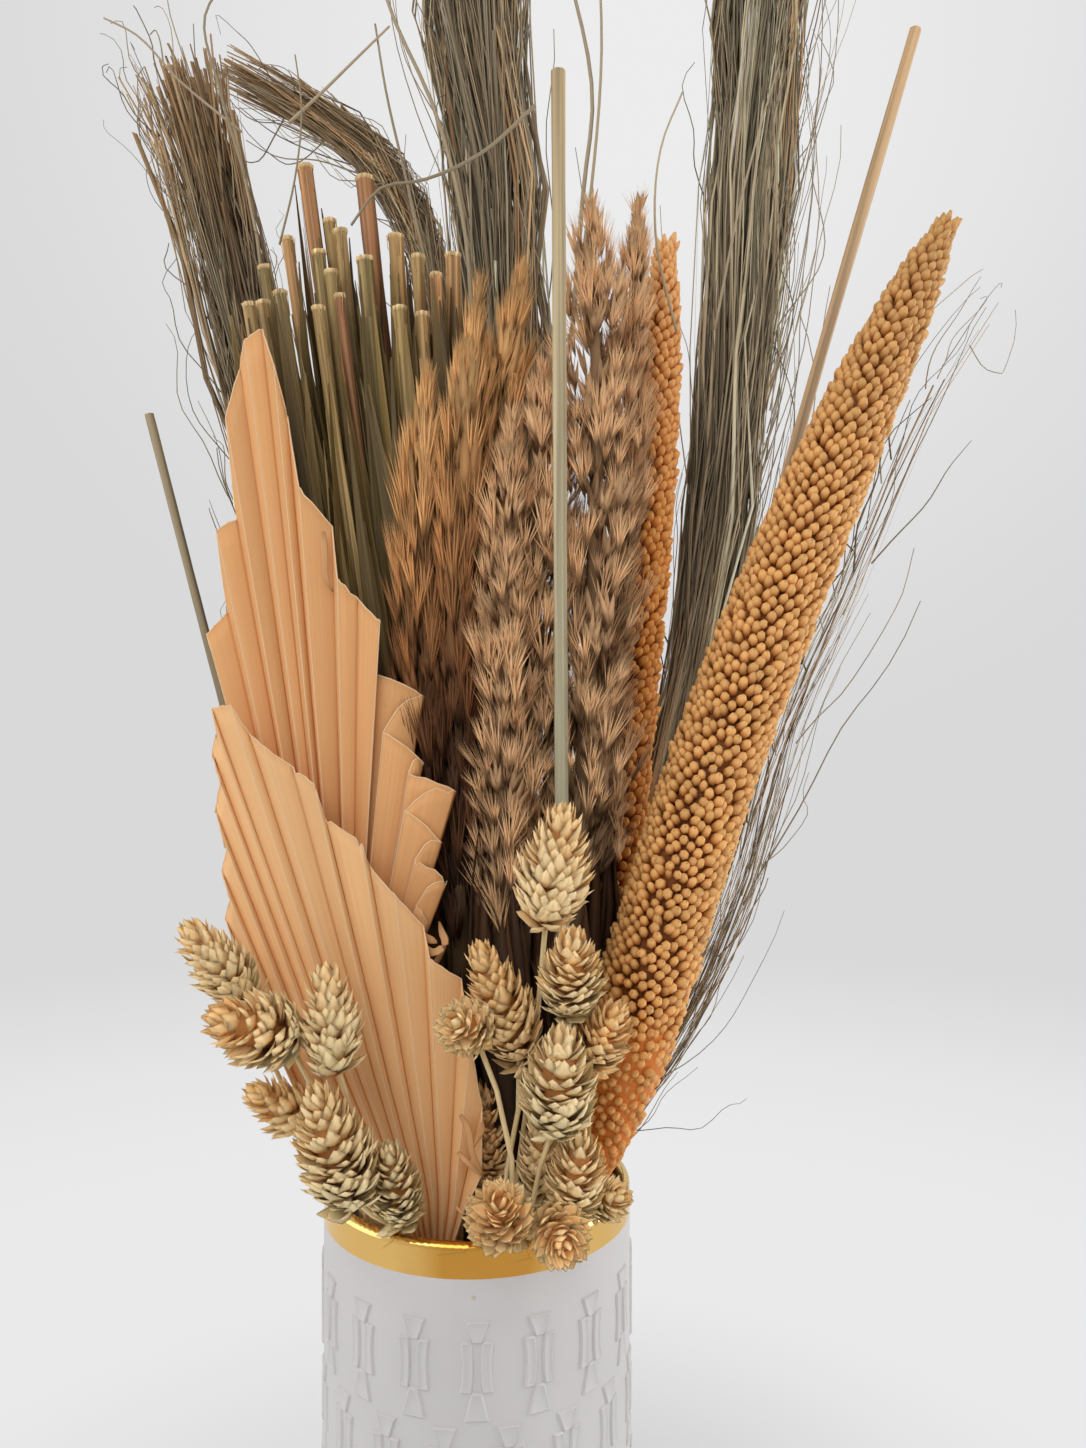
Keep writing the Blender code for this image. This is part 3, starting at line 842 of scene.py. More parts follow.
class DRIED_OT_millet(bpy.types.Operator):
    """Model the millet ears, grain by grain"""

    bl_idname = "dried.millet"
    bl_label = "Millet"

    def execute(self, context):
        look = context.scene.dried_millet
        grain = model_grain()
        finish = plant_material("millet", 1500, 1500, 0.35, 0.55, 0.05 * MM)
        for seed, node in enumerate(("millet_front", "millet_back"), 40):
            ear = model_ear(look, node, grain, np.random.default_rng(seed))
            show(ear.mesh(node + "_ear"), finish, "millet", node)
        return {"FINISHED"}


# ---------------------------------------------------------------- canary grass

# Rows of a bract from its foot to its tip: share of the height, width, and how far the keel stands out.
BRACT_ROWS = ((0.0, 0.5, 0.08), (0.22, 0.88, 0.15), (0.5, 0.98, 0.17), (0.8, 0.5, 0.12), (1.0, 0.02, 0.02))

# Bracts that close the tip of a head.
CROWN = 12

# Each head's lean towards tan and green: foot colour, tip colour, each from 0 green over 1 cream to 2 tan.
CANARY_TONES = {
    1: (0.75, 1.5), 2: (0.1, 1.45), 3: (1.0, 1.9), 4: (0.7, 1.1), 5: (1.1, 1.8), 6: (0.1, 1.0),
    7: (0.4, 1.3), 8: (0.5, 1.75), 9: (0.25, 1.7), 10: (0.3, 1.1), 11: (1.3, 1.9), 12: (0.5, 1.2),
    13: (0.2, 1.6), 14: (0.05, 1.9), 15: (0.4, 1.5), 16: (0.8, 1.9), 17: (0.15, 1.25), 18: (0.0, 0.55),
}


def model_bract():
    """One keeled, papery, pointed bract: a unit long along Z, a unit wide across X, its back towards +Y."""
    deselect()
    bpy.ops.mesh.primitive_circle_add(vertices=5, radius=0.5, fill_type="NGON")
    bract = start("bract")
    pick(bract, lambda co: True)
    for _ in BRACT_ROWS[1:]:
        bpy.ops.mesh.extrude_region_move(TRANSFORM_OT_translate={"value": (0, 0, 0.1)})
    done()
    for vertex in bract.data.vertices:
        share, width, keel = BRACT_ROWS[round(vertex.co.z / 0.1)]
        bow = 0.13 * math.sin(share * math.pi) + 0.04 * share**3
        x, y = vertex.co.x, vertex.co.y
        if y > 0.4:
            x, y = 0.0, keel
        elif y > 0:
            x, y = math.copysign(0.5, x), 0.02
        else:
            x, y = math.copysign(0.2, x), 0.35 * keel
        vertex.co = (x * width, bow + y, share)
    return as_template(bract)


def place_bracts(look, route, along, turn, share, size, rng):
    """Where a head's bracts stand and how they are turned: they spread at its foot and close at its tip."""
    count = len(along)
    crown = np.linspace(0, 1, CROWN)
    outward, tangent = route.outward(along, turn), route.tangent(along)
    reach = route.reach(along, turn)
    tall = look.bract_length * size * rng.uniform(0.85, 1.12, count) * (1 - 0.07 * share)
    wide = look.bract_width * size * rng.uniform(0.85, 1.15, count) * (1 - 0.2 * share)
    flare = np.interp(share, (0, 0.2, 0.6, 0.9, 1), (1.25, 0.98, 0.78, 0.6, 0.32))
    flare = flare + rng.normal(size=count) * 0.15
    flare[-CROWN:] = 0.5 * crown + 0.05
    up = unit(np.sin(flare)[:, None] * outward + np.cos(flare)[:, None] * tangent)
    out_by = np.maximum(reach - tall * (np.sin(flare) * 0.8 + 0.02), reach * 0.1)
    out_by[-CROWN:] = (0.3 + 1.2 * crown) * size * MM
    places = route.centre(along - tall * (0.45 + 0.4 * share)) + outward * out_by[:, None]
    back = unit(outward - up * (outward * up).sum(1, keepdims=True) + rng.normal(size=(count, 3)) * 0.12)
    return frames(up, back) * np.stack([wide, wide, tall], -1)[:, None, :], places


def bract_tones(look, bract, share, foot_tone, tip_tone, facing, rng):
    """Each bract painted dark as shade at its foot, with a pale tip and pale rims. Heads that face the front
    get painted light.
    """
    scale, gap = np.array([look.green, look.cream, look.tan]), np.array(look.gap)
    count = len(share)
    lean = np.clip(foot_tone + (tip_tone - foot_tone) * share + rng.normal(size=count) * 0.14, 0, 2)
    low = np.minimum(lean.astype(int), 1)
    part = (lean - low)[:, None]
    # Painted light: heads whose tips face the front are up to a fifth lighter.
    own = (scale[low] * (1 - part) + scale[low + 1] * part)[:, None, :] * (1 + 0.2 * max(0.0, facing))
    sunned = np.clip(lean - 1, 0, 1)[:, None, None]
    paler = scale[1] * (1 - sunned) + scale[2] * 1.06 * sunned
    level = bract[0][:, 2][None, :, None]
    foot = 0.35
    # Painted shade: the lower part of each bract goes over into the gap colour.
    tones = np.where(level < foot, gap + (own - gap) * np.clip(level / foot, 0, 1),
                     own + (paler - own) * 0.8 * ((level - foot) / (1 - foot)))
    rim = (np.abs(bract[0][:, 0]) > 0.28)[None, :, None] * 0.5 * (level > 0.1)
    return (tones * (1 - rim) + paler * rim) * rng.uniform(0.9, 1.1, (count, 1, 1))


def model_head(look, node, head, bract, rng):
    """One head of canary grass on its stem."""
    route, first = grown_route(node, 1.5 * MM)
    first = first - 1 * MM
    size = min(1.0, 0.55 + 0.45 * route.outlines.mean(1).max() / (10 * MM))
    along, turn = spiral(route, first + 0.5 * MM, look.spacing * size, rng)
    crown = np.linspace(0, 1, CROWN)
    along = np.r_[along, route.length - 2.2 * MM * crown]
    turn = np.r_[turn, (crown * (CROWN - 1) * GOLDEN_ANGLE) % (2 * math.pi) - math.pi]
    share = (along - first) / (route.length - first)
    turns, places = place_bracts(look, route, along, turn, share, size, rng)
    # How far the head's tip faces the camera, which sets its painted light.
    facing = -route.tangent(np.array([route.length]))[0, 1]
    tones = bract_tones(look, bract, share, *CANARY_TONES[head], facing, rng)
    made = Batch()
    stamp(made, bract, turns, places, tones, rng.uniform(0, 40, len(along)))
    # Painted shade: a thin core in the gap colour fills the inside of the head.
    where = np.linspace(first, route.length - 4 * MM * size, 12)
    inside = route.reach(where, np.zeros(12)) * 0.5
    inside[0] = inside[-1] = 0.4 * MM
    add_tubes(made, route.centre(where)[None], inside[None], 8, np.array(look.gap) * 0.9)
    stem_tone = np.array(look.green) * 0.6 + np.array(look.tan) * 0.35
    stem(made, route, first + 1 * MM, 0.75 * MM, stem_tone, sides=6, seed=head)
    return made


class DRIED_OT_canary_grass(bpy.types.Operator):
    """Model the heads of canary grass, bract by bract"""

    bl_idname = "dried.canary_grass"
    bl_label = "Canary grass"

    def execute(self, context):
        look = context.scene.dried_canary
        bract = model_bract()
        finish = plant_material("canary grass", 3200, 120, 0.5, 0.7, 0.06 * MM)
        for head in CANARY_TONES:
            node = f"canary_grass_{head}"
            made = model_head(look, node, head, bract, np.random.default_rng(100 + head))
            show(made.mesh(node + "_head"), finish, "canary_grass", node)
        return {"FINISHED"}


# ---------------------------------------------------------------- plumes

# The two kinds of plume: their slot and their numbers; how far the hairs of a tuft spread; how far the tufts
# lean out, how unevenly, and their length in millimetres; how far their tone can go over into a browner one,
# and that one against it; and the painted light and shade on the way up, dark at the foot, bright at the top.
PlumeKind = namedtuple("PlumeKind", "slot plumes spread lean uneven tall browner brown light")

RUST = PlumeKind("plume_rust", (1, 2, 3), 0.17, 0.12, 0.07, 24, 0.6, (1.0, 0.86, 0.7),
                 (0.03, 0.05, 0.15, 0.9, 1.75))
PINK = PlumeKind("plume_pink", (4, 5, 6, 7), 0.32, 0.28, 0.13, 15.5, 0.25, (0.8, 0.8, 0.8),
                 (0.08, 0.42, 0.9, 1.14, 1.4))

# How far the tufts stand out from the middle line of a plume, in millimetres, and how far on fuller ones.
SLIM = 9.0
FULL_PLUMES = {5: 14.5, 6: 17.0, 7: 13.0}

# Different full tufts that are modelled for one kind of plume, and as many different inner ones of husks.
TUFT_SHAPES = 6


def model_tuft(hairs, husks, thin, thick, spread, rng):
    """A tuft that opens from one point, a unit long and towards +Z: husks among finer hairs."""
    fine = np.arange(hairs) >= husks
    lean = rng.uniform(0.15, 1.0, hairs) * spread * np.where(fine, 1.3, 1.0)
    turn = np.arange(hairs) * GOLDEN_ANGLE + rng.normal(size=hairs) * 0.3
    tall = np.where(fine, rng.uniform(0.7, 1.0, hairs), rng.uniform(0.5, 0.85, hairs))[:, None]
    t = np.array([0.0, 0.45, 1.0])
    away = np.sin(lean)[:, None] * tall * t**1.3
    paths = np.stack([np.cos(turn)[:, None] * away, 0.6 * np.sin(turn)[:, None] * away,
                      np.cos(lean)[:, None] * tall * t], -1)
    wide = np.where(fine, thin, thick) / (16 * MM)
    rings = tubes(paths, wide[:, None] * np.array([0.5, 1.0, 0.06]), 3, flat=0.5)[0]
    foot, tip = (rings[:, end].mean(1, keepdims=True) for end in (0, 2))
    points = np.concatenate([foot, rings[:, 1], tip], axis=1)
    one = np.array([(2, 1, 0), (3, 2, 0), (1, 3, 0), (1, 2, 4), (2, 3, 4), (3, 1, 4)])
    faces = one[None] + 5 * np.arange(hairs)[:, None, None]
    # Painted shade at the foot of each hair and a painted highlight at its tip; fine hairs painted a little
    # lighter.
    glow = np.array([0.6, 1.0, 1.0, 1.0, 1.22])[None] * np.where(fine, 1.12, 1.0)[:, None]
    return points.reshape(-1, 3), faces.reshape(-1, 3), glow.reshape(-1)


def model_tufts(look, spread):
    """All tufts of one kind of plume, the full ones first."""
    full = (look.hairs, look.hairs // 3, look.hair_radius, look.husk_radius)
    husks = (7, 7, 0.0, look.husk_radius * 3.4)
    return [model_tuft(*(full if shape < TUFT_SHAPES else husks), spread, np.random.default_rng(shape))
            for shape in range(2 * TUFT_SHAPES)]


def place_tufts(look, kind, plume, route, first, rng):
    """Where a plume's tufts stand and how they are turned, how far up and how deep, and which are inner."""
    count = round(look.tufts * (1.25 if plume in FULL_PLUMES else 0.88))
    share = np.sort(rng.random(count)) ** 0.9
    share[:count // 12] = -rng.uniform(0, 0.2, count // 12)
    along = first + (route.length - first) * share - np.interp(share, (0, 1), (4, 12)) * MM
    turn = rng.uniform(-math.pi, math.pi, count)
    outward, tangent = route.outward(along, turn), route.tangent(along)
    taper = np.interp(share, (-0.2, 0, 0.1, 0.68, 0.86, 0.95, 1), (0.4, 0.7, 1.0, 1.0, 0.8, 0.42, 0.05))
    ease = 0.3 + 0.7 * taper
    inner = rng.random(count) < 0.33
    depth = np.where(inner, rng.uniform(0.1, 0.75, count), rng.uniform(0.0, 1.0, count) ** 0.55)
    lean = kind.lean * rng.uniform(0.5, 1.5, count) * ease
    stray = rng.normal(size=(count, 3)) * (kind.uneven * ease)[:, None]
    up = unit(tangent + lean[:, None] * outward + stray)
    tall = kind.tall * MM * rng.uniform(0.6, 1.35, count) * (0.62 + 0.38 * taper)
    out_by = depth * (FULL_PLUMES.get(plume, SLIM) * MM * taper - 2 * MM).clip(0.2 * MM)
    if plume == 7:
        out_by *= np.where(outward[:, 0] > 0, 0.5, 1.3)
    places = route.centre(along) + outward * out_by[:, None]
    return frames(up, outward) * tall[:, None, None], places, share, depth, inner


def tuft_tones(base, kind, share, depth, inner, rng):
    """One tone for each tuft: painted shade low down, deep inside and on inner husks. Rust goes redder below.
    """
    browned = rng.random((len(share), 1)) * kind.browner * (1.15 - share[:, None].clip(0))
    # Painted light and shade: dark low on the plume, brighter near its top, and darker deep inside.
    light = np.interp(share, (-0.2, 0, 0.35, 0.7, 1), kind.light)
    light = light * (0.55 + 0.5 * depth) * np.exp(rng.normal(size=len(share)) * 0.17)
    tone = base * (1 - browned + browned * np.array(kind.brown)) * light[:, None]
    # Painted shade on the inner husks.
    tone *= np.where(inner, 0.66, 1.0)[:, None]
    redder = np.clip((0.85 - share) / 0.5, 0, 1)[:, None]
    return tone * (1 - redder * np.array([0.0, 0.36, 0.52])) if kind is RUST else tone


def model_plume(look, kind, plume, node, tufts, rng):
    """One plume: tufts round a thin core on a stem, and leaves below the pinkish ones, both painted dark as
    shade.
    """
    base = np.array(look.rust if kind is RUST else look.pink)
    route, first = grown_route(node, 2 * MM)
    turns, places, share, depth, inner = place_tufts(look, kind, plume, route, first, rng)
    tone = tuft_tones(base, kind, share, depth, inner, rng)
    which = np.where(inner, TUFT_SHAPES, 0) + rng.integers(0, TUFT_SHAPES, len(share))
    made = Batch()
    for index, (points, faces, glow) in enumerate(tufts):
        mine = which == index
        # Each tuft's tone with its painted shade and highlight along the hairs.
        tones = tone[mine][:, None, :] * glow[None, :, None]
        tones = tones * np.minimum(1, 0.94 / tones.max(-1, keepdims=True))
        stamp(made, (points, faces), turns[mine], places[mine], tones, rng.uniform(0, 40, mine.sum()))
    where = np.linspace(first, route.length - 6 * MM, 24)
    core = np.interp(where, (first, route.length - 60 * MM, route.length), (3.2, 1.8, 0.3)) * MM
    # Painted shade: the core is dark, lightest near its top.
    core_tones = base * np.linspace(0.12, 0.4, 24)[None, :, None]
    add_tubes(made, route.centre(where)[None], core[None], 8, core_tones)
    stem(made, route, first, 1.5 * MM, base * 0.6)
    if kind is PINK:
        rim = route.height_at(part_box("vase")[1].z)
        # Painted shade: the leaves under the pinkish plumes are nearly black.
        deep = base * np.array([1.0, 0.7, 0.5]) * rng.uniform(0.03, 0.12, (14, 1))
        leaf_blades(made, route, (rim, rim + 0.01), (first, first + 0.05), 10 * MM, 6 * MM, deep, rng)
    return made


class DRIED_OT_plumes(bpy.types.Operator):
    """Model the reed plumes, tuft by tuft"""

    bl_idname = "dried.plumes"
    bl_label = "Plumes"

    def execute(self, context):
        look = context.scene.dried_plumes
        finish = plant_material("plume hair", 3000, 90, 0.4, 0.7, 0.05 * MM)
        for kind in (RUST, PINK):
            tufts = model_tufts(look, kind.spread)
            for plume in kind.plumes:
                node = f"plume_{plume}"
                made = model_plume(look, kind, plume, node, tufts, np.random.default_rng(300 + plume))
                show(made.mesh(node + "_hair"), finish, kind.slot, node)
        return {"FINISHED"}


# ---------------------------------------------------------------- palm spears

def fold_lines(node):
    """The middle line of every fold of a palm spear, from its stalk to its cut end: rows by folds by 3."""
    points, near, ring = joined(node)
    seen = set(ring)
    ring = {b for a in ring for b in near[a]} - seen
    faces = {}
    for p in ring:
        faces.setdefault(round(points[p, 0], 5), []).append(p)
    order = [faces[x] for x in sorted(faces)]
    rows = []
    while order:
        rows.append([points[pair].mean(0) for pair in order])
        seen |= {p for pair in order for p in pair}
        beyond = set().union(*(near[p] for pair in order for p in pair)) - seen
        after = []
        for pair in reversed(order if beyond else []):
            fresh = sorted(set().union(*(near[p] for p in pair)) & beyond)
            beyond -= set(fresh)
            after.insert(0, fresh)
        order = after
    return np.array(rows)


# Places across one flat, from fold to fold, close together beside the folds.
ACROSS_FLAT = (0.0, 0.05, 0.16, 0.38, 0.62, 0.84, 0.95)

# How much of the solid's fold depth a blade keeps, row by row from its stalk to its cut end.
FOLD_DEPTHS = np.array([0.9, 0.8, 0.5, 0.4, 0.36])

# Rows of points that a blade has on the way up.
BLADE_ROWS = 30

# Where the pleats of the back spear's torn side end, in millimetres: a ridge, the tip of the flat that curls
# away from it, the next ridge that lies over that flat, and so on down.
TORN_FROM = 17
TORN_SIDE = np.array([
    (-31.5, -18, 357.3), (-15.3, -17, 351.0), (-27.1, -21, 339.8), (-15.3, -20, 330.8), (-19.4, -23, 327.1),
    (-5.3, -22, 322.3), (-20.1, -25, 316.9), (-9.3, -24, 307.3), (-17.0, -26, 302.3), (-7.7, -25, 295.9),
    (-16.6, -26.5, 289.1), (-13.2, -26, 283.5)]) * MM

# Torn strips that curl off the blades: points in millimetres, and half their width.
CURLS = {
    "palm_spear_back": (
        (((-16.4, -27, 280.5), (-14.0, -29, 277.3), (-11.1, -30, 276.2), (-7.9, -29, 278.8),
          (-9.1, -27, 281.7), (-10.0, -25, 284.3)), 1.3),
        (((-11.1, -27, 271.7), (-9.4, -28, 275.3), (-7.9, -29, 278.5)), 2.0),
        (((-17.2, -27, 281.1), (-14.0, -28, 280.3), (-10.2, -29, 278.8)), 1.3),
        (((-45.0, -20.6, 400.0), (-44.4, -21.2, 391.3), (-43.9, -21.4, 385.3), (-42.0, -21.0, 382.0)), 1.0),
    ),
    "palm_spear_front": (
        (((-2.9, -36.6, 231.6), (-0.7, -37.4, 227.9), (0.7, -38.6, 221.1), (3.9, -37.5, 214.3)), 0.9),
        (((-3.6, -37.0, 221.1), (-0.4, -38.4, 218.3), (3.9, -37.5, 214.3)), 0.7),
        (((0.8, -36.6, 222.0), (2.8, -37.2, 225.5), (3.6, -36.6, 230.0)), 0.9),
        (((-4.2, -37.0, 206.0), (-2.4, -38.6, 204.6), (-0.6, -38.2, 203.8)), 0.35),
    ),
}


def torn_folds(rows):
    """Lets the last folds of a blade end in curled pleats that lie over each other."""
    place = np.linspace(TORN_FROM, rows.shape[1] - 1, len(TORN_SIDE))
    low = np.minimum(place.astype(int), rows.shape[1] - 2)
    part = (place - low)[:, None]
    tail = rows[:, low] * (1 - part) + rows[:, low + 1] * part
    share = np.clip((tail[:, :, 2:] - tail[:1, :, 2:]) / (tail[-1:, :, 2:] - tail[:1, :, 2:]), 0, 1)
    tail = tail + (TORN_SIDE - tail[-1]) * share ** np.array([1.0, 2.5, 1.0])
    return np.concatenate([rows[:, :TORN_FROM], tail], axis=1)


def model_blade(rows, torn, rng):
    """A pleated blade that follows its folds, with how far each point lies from its ridge and its groove."""
    flat = rows[:, :, 1].copy()
    flat[:, 1:-1] = rows[:, 1:-1, 1] * 0.5 + (rows[:, :-2, 1] + rows[:, 2:, 1]) * 0.25
    rows[:, :, 1] = flat + (rows[:, :, 1] - flat) * FOLD_DEPTHS[:, None]
    ridge = np.arange(rows.shape[1]) % 2 == 0
    if torn:
        rows = torn_folds(rows)
        ridge = np.r_[ridge[:TORN_FROM], np.arange(len(TORN_SIDE)) % 2 == 0]
    folds = rows.shape[1]
    knots = np.r_[0, np.cumsum(np.linalg.norm(np.diff(rows.mean(1), axis=0), axis=1))]
    where = np.linspace(0, knots[-1], BLADE_ROWS)
    lines = np.stack([np.interp(where, knots, column) for column in rows.reshape(len(knots), -1).T], -1)
    lines = lines.reshape(len(where), folds, 3)
    share = np.r_[np.tile(ACROSS_FLAT, folds - 1), 1.0]
    fold = np.r_[np.repeat(np.arange(folds - 1), len(ACROSS_FLAT)), folds - 2]
    left, right = lines[:, fold], lines[:, fold + 1]
    grid = left * (1 - share)[None, :, None] + right * share[None, :, None]
    width = np.linalg.norm(right - left, axis=-1)
    far = 1.0
    from_ridge = np.minimum(np.where(ridge[fold], share * width, far),
                            np.where(ridge[fold + 1], (1 - share) * width, far))
    from_groove = np.minimum(np.where(ridge[fold], far, share * width),
                             np.where(ridge[fold + 1], far, (1 - share) * width))
    arch, rise = np.sin(share * math.pi)[None], np.linspace(0, 1, len(where))[:, None] ** 3
    grid[..., 1] -= arch * np.minimum(0.06 * width, 0.5 * MM)
    if torn:
        curled = fold >= TORN_FROM
        grid[..., 1] -= rise * arch * curled * 0.8 * MM
        grid[..., 2] += rise * arch * curled * np.where(ridge[fold], 1.2, 3.2) * MM
    nicks = np.where(rng.random(grid.shape[1]) < 0.14, rng.uniform(-1.3, 0.2, grid.shape[1]), 0)
    grid[-1, :, 2] += (rng.normal(size=grid.shape[1]) * 0.22 + nicks) * MM
    return grid, from_ridge, from_groove, lines[:, ridge]


def blade_tones(look, torn, from_ridge, from_groove, rng):
    """Tones of a blade: painted shade deep in its grooves and towards its foot, pale along its ridges, each
    flat its own.
    """
    blade, groove, edge = (np.array(c) for c in (look.blade, look.groove, look.edge))
    stations, columns = from_ridge.shape
    level = np.linspace(0, 1, stations)[:, None, None]
    near_groove = np.exp(-(from_groove / (0.42 * MM)) ** 2)[..., None]
    near_ridge = np.exp(-(from_ridge / (0.3 * MM)) ** 2)[..., None]
    # Painted shade: the groove colour near each groove line and towards the stalk.
    deep = near_groove * (0.95 - 0.3 * level) + (0.42 if torn else 0.25) * (1 - level) ** 1.5
    flat = np.repeat(rng.uniform(0.94, 1.05, columns // len(ACROSS_FLAT) + 1), len(ACROSS_FLAT))
    light = 0.97 * np.array([1.06, 0.93, 0.82]) if torn else 1.14
    tones = (blade * (1 - deep) + groove * deep) * flat[:columns][None, :, None] * light
    return tones * (1 - 0.6 * near_ridge) + edge * 0.6 * near_ridge


def sheet_mesh(name, grid, tones, own):
    """A blade as one sheet of triangles, with the way along its fibres."""
    stations, columns = grid.shape[:2]
    index = np.arange(stations * columns).reshape(stations, columns)
    a, b, c, d = (part.ravel() for part in (index[:-1, :-1], index[:-1, 1:], index[1:, 1:], index[1:, :-1]))
    steps = np.linalg.norm(np.diff(grid[-1:], axis=1), axis=2)
    wide = np.broadcast_to(np.c_[0, np.cumsum(steps)[None]], grid.shape[:2])
    tall = np.linalg.norm(np.diff(grid, axis=0), axis=2)
    high = np.concatenate([np.zeros((1, columns)), np.cumsum(tall, axis=0)])
    sheet = Batch()
    sheet.add(grid, np.concatenate([np.c_[a, b, c], np.c_[a, c, d]]), tones,
              np.stack([wide, high, np.full(high.shape, own)], -1))
    return sheet.mesh(name)


def thicken(piece, thickness):
    """Gives a sheet its thickness, half to each side."""
    thick = piece.modifiers.new("thickness", "SOLIDIFY")
    thick.thickness = thickness
    thick.offset = 0.0
    deselect()
    bpy.context.view_layer.objects.active = piece
    bpy.ops.object.modifier_apply(modifier=thick.name)


def model_trim(look, node, grid, ridges):
    """A spear's ribs, its pale cut edge, its curled strips and its stalk."""
    blade, groove, edge = (np.array(c) for c in (look.blade, look.groove, look.edge))
    trim = Batch()
    ridges = ridges.transpose(1, 0, 2) + np.array([0, -0.12 * MM, 0])
    size = np.broadcast_to(np.linspace(0.24, 0.17, len(grid))[None] * MM, ridges.shape[:2])
    add_tubes(trim, ridges, size, 5, edge * 0.95, seed=3)
    taper = np.interp(np.linspace(0, 1, 14), (0, 0.2, 0.8, 1), (0.6, 1, 0.85, 0.25))[None]
    tones = groove * 0.5 * (1 - taper[..., None] * 0.5) + blade * 0.75 * taper[..., None]
    for points, half in CURLS[node]:
        add_tubes(trim, curve_through(points, 14)[None], half * taper * MM, 8, tones, seed=5, flat=0.16,
                  lean=np.array([[0.65, 0.3, 0.7]]))
    cut = grid[-1][None]
    add_tubes(trim, cut, np.full(cut.shape[:2], 0.26 * MM), 5, edge, seed=4)
    route = Route(swept_rings(node)[:2])
    stem(trim, route, route.length, 2.1 * MM, blade * 0.9)
    return trim


class DRIED_OT_palms(bpy.types.Operator):
    """Model the trimmed palm spears with their folds, ribs and pale cut edges"""

    bl_idname = "dried.palms"
    bl_label = "Palm spears"

    def execute(self, context):
        look = context.scene.dried_palms
        finish = plant_material("palm blade", 1700, 14, 0.26, 0.6, 0.05 * MM, 0.12)
        for seed, node in enumerate(("palm_spear_front", "palm_spear_back")):
            rng = np.random.default_rng(60 + seed)
            torn = node == "palm_spear_back"
            grid, from_ridge, from_groove, ridges = model_blade(fold_lines(node), torn, rng)
            tones = blade_tones(look, torn, from_ridge, from_groove, rng)
            thicken(show(sheet_mesh(node + "_blade", grid, tones, 7.0 * seed), finish, "palm", node),
                    look.thickness)
            show(model_trim(look, node, grid, ridges).mesh(node + "_ribs"), finish, "palm", node)
        return {"FINISHED"}


# ---------------------------------------------------------------- straws and sticks

# Each straw: how pale (0 green to 1 tan, then on to red-brown at 2), and how red its foot and sheath are.
STRAW_LOOKS = {1: (0.7, 0.0), 2: (0.25, 0.2), 3: (0.45, 0.0), 4: (1.7, 1.0), 5: (0.3, 0.3), 6: (0.8, 0.0),
               7: (0.5, 0.0), 8: (0.2, 0.0), 9: (0.05, 0.0), 10: (0.6, 0.9), 11: (1.5, 0.8), 12: (0.1, 0.1),
               13: (0.15, 0.0), 14: (0.5, 0.8), 15: (1.0, 0.0), 16: (1.2, 0.7), 17: (1.25, 0.4),
               18: (1.5, 0.6), 19: (0.4, 0.2), 20: (1.7, 0.5)}

# The bore of a straw against its outside.
BORE = 0.66

# Where loose strips of sheath run up a straw: angles round it.
STRIP_ANGLES = (-1.2, -2.2, -0.5, -1.7)

# Each stick's tone at its foot and at its tip.
STICK_TONES = {"stick_left": (paint(138, 130, 104), paint(158, 140, 110)),
               "stick_middle": (paint(164, 163, 138), paint(178, 154, 116)),
               "stick_right": (paint(168, 146, 114), paint(196, 160, 118))}


def turned(batch, route, where, radii, sides, tones, own, ribs, rng):
    """A round or hollow stalk: rings along a route, out and back down inside if the places turn back."""
    where, radii = np.asarray(where, float), np.asarray(radii, float)
    turn = np.linspace(-math.pi, math.pi, sides, endpoint=False)
    shape = 1 + ribs * rng.normal(size=sides)
    round_it = np.stack([np.cos(turn), np.sin(turn)], -1) * shape[:, None]
    side, across = route.look_up(route.sides, where), route.look_up(route.across, where)
    rings = (route.centre(where)[:, None, :] + radii[:, None, None]
             * (round_it[None, :, :1] * side[:, None] + round_it[None, :, 1:] * across[:, None]))
    k = np.arange(sides)
    a = (np.arange(len(where) - 1)[:, None] * sides + k).ravel()
    b = (np.arange(len(where) - 1)[:, None] * sides + (k + 1) % sides).ravel()
    fan = np.arange(1, sides - 1)
    last = (len(where) - 1) * sides
    faces = np.concatenate([np.c_[a, b, b + sides], np.c_[a, b + sides, a + sides],
                            np.c_[np.zeros_like(fan), fan + 1, fan],
                            np.c_[np.zeros_like(fan), fan, fan + 1] + last])
    streak = np.exp(rng.normal(size=sides) * 3 * ribs)
    tones = np.asarray(tones)[:, None, :] * streak[None, :, None]
    spread = np.broadcast_to(where[:, None], rings.shape[:2])
    grains = np.stack([np.broadcast_to(turn / math.pi * radii[:, None] * 2, spread.shape), spread,
                       np.full(spread.shape, own)], -1)
    batch.add(rings, faces, tones, grains)


def leaf_blades(batch, route, low, high, spread, width, tones, rng):
    """Long thin leaves that leave a straw on the way up and taper to a point."""
    count, points = len(tones), 7
    t = np.linspace(0, 1, points)[None]
    begin = rng.uniform(*low, (count, 1))
    where = begin + (rng.uniform(*high, (count, 1)) - begin) * t
    turn = rng.uniform(-math.pi, math.pi, (count, 1)) + 0 * t
    out = rng.uniform(0.3, 1.0, (count, 1)) * spread
    apart = route.outlines.mean() * 0.8 + out * np.sin(t * 2.4) ** 1.3
    paths = route.centre(where) + route.outward(where, turn) * apart[..., None]
    taper = np.interp(t, (0, 0.15, 0.75, 1), (0.5, 1, 0.85, 0.08))
    radii = width / 2 * rng.uniform(0.6, 1.2, (count, 1)) * taper
    # Painted shade towards the foot of each leaf and painted light towards its tip.
    tones = tones[:, None] * np.linspace(0.55, 1.15, points)[None, :, None]
    lean = unit(rng.normal(size=(count, 3)) * np.array([1, 0.4, 0.1]))
    add_tubes(batch, paths, radii, 4, tones, seed=7, flat=0.16, lean=lean)


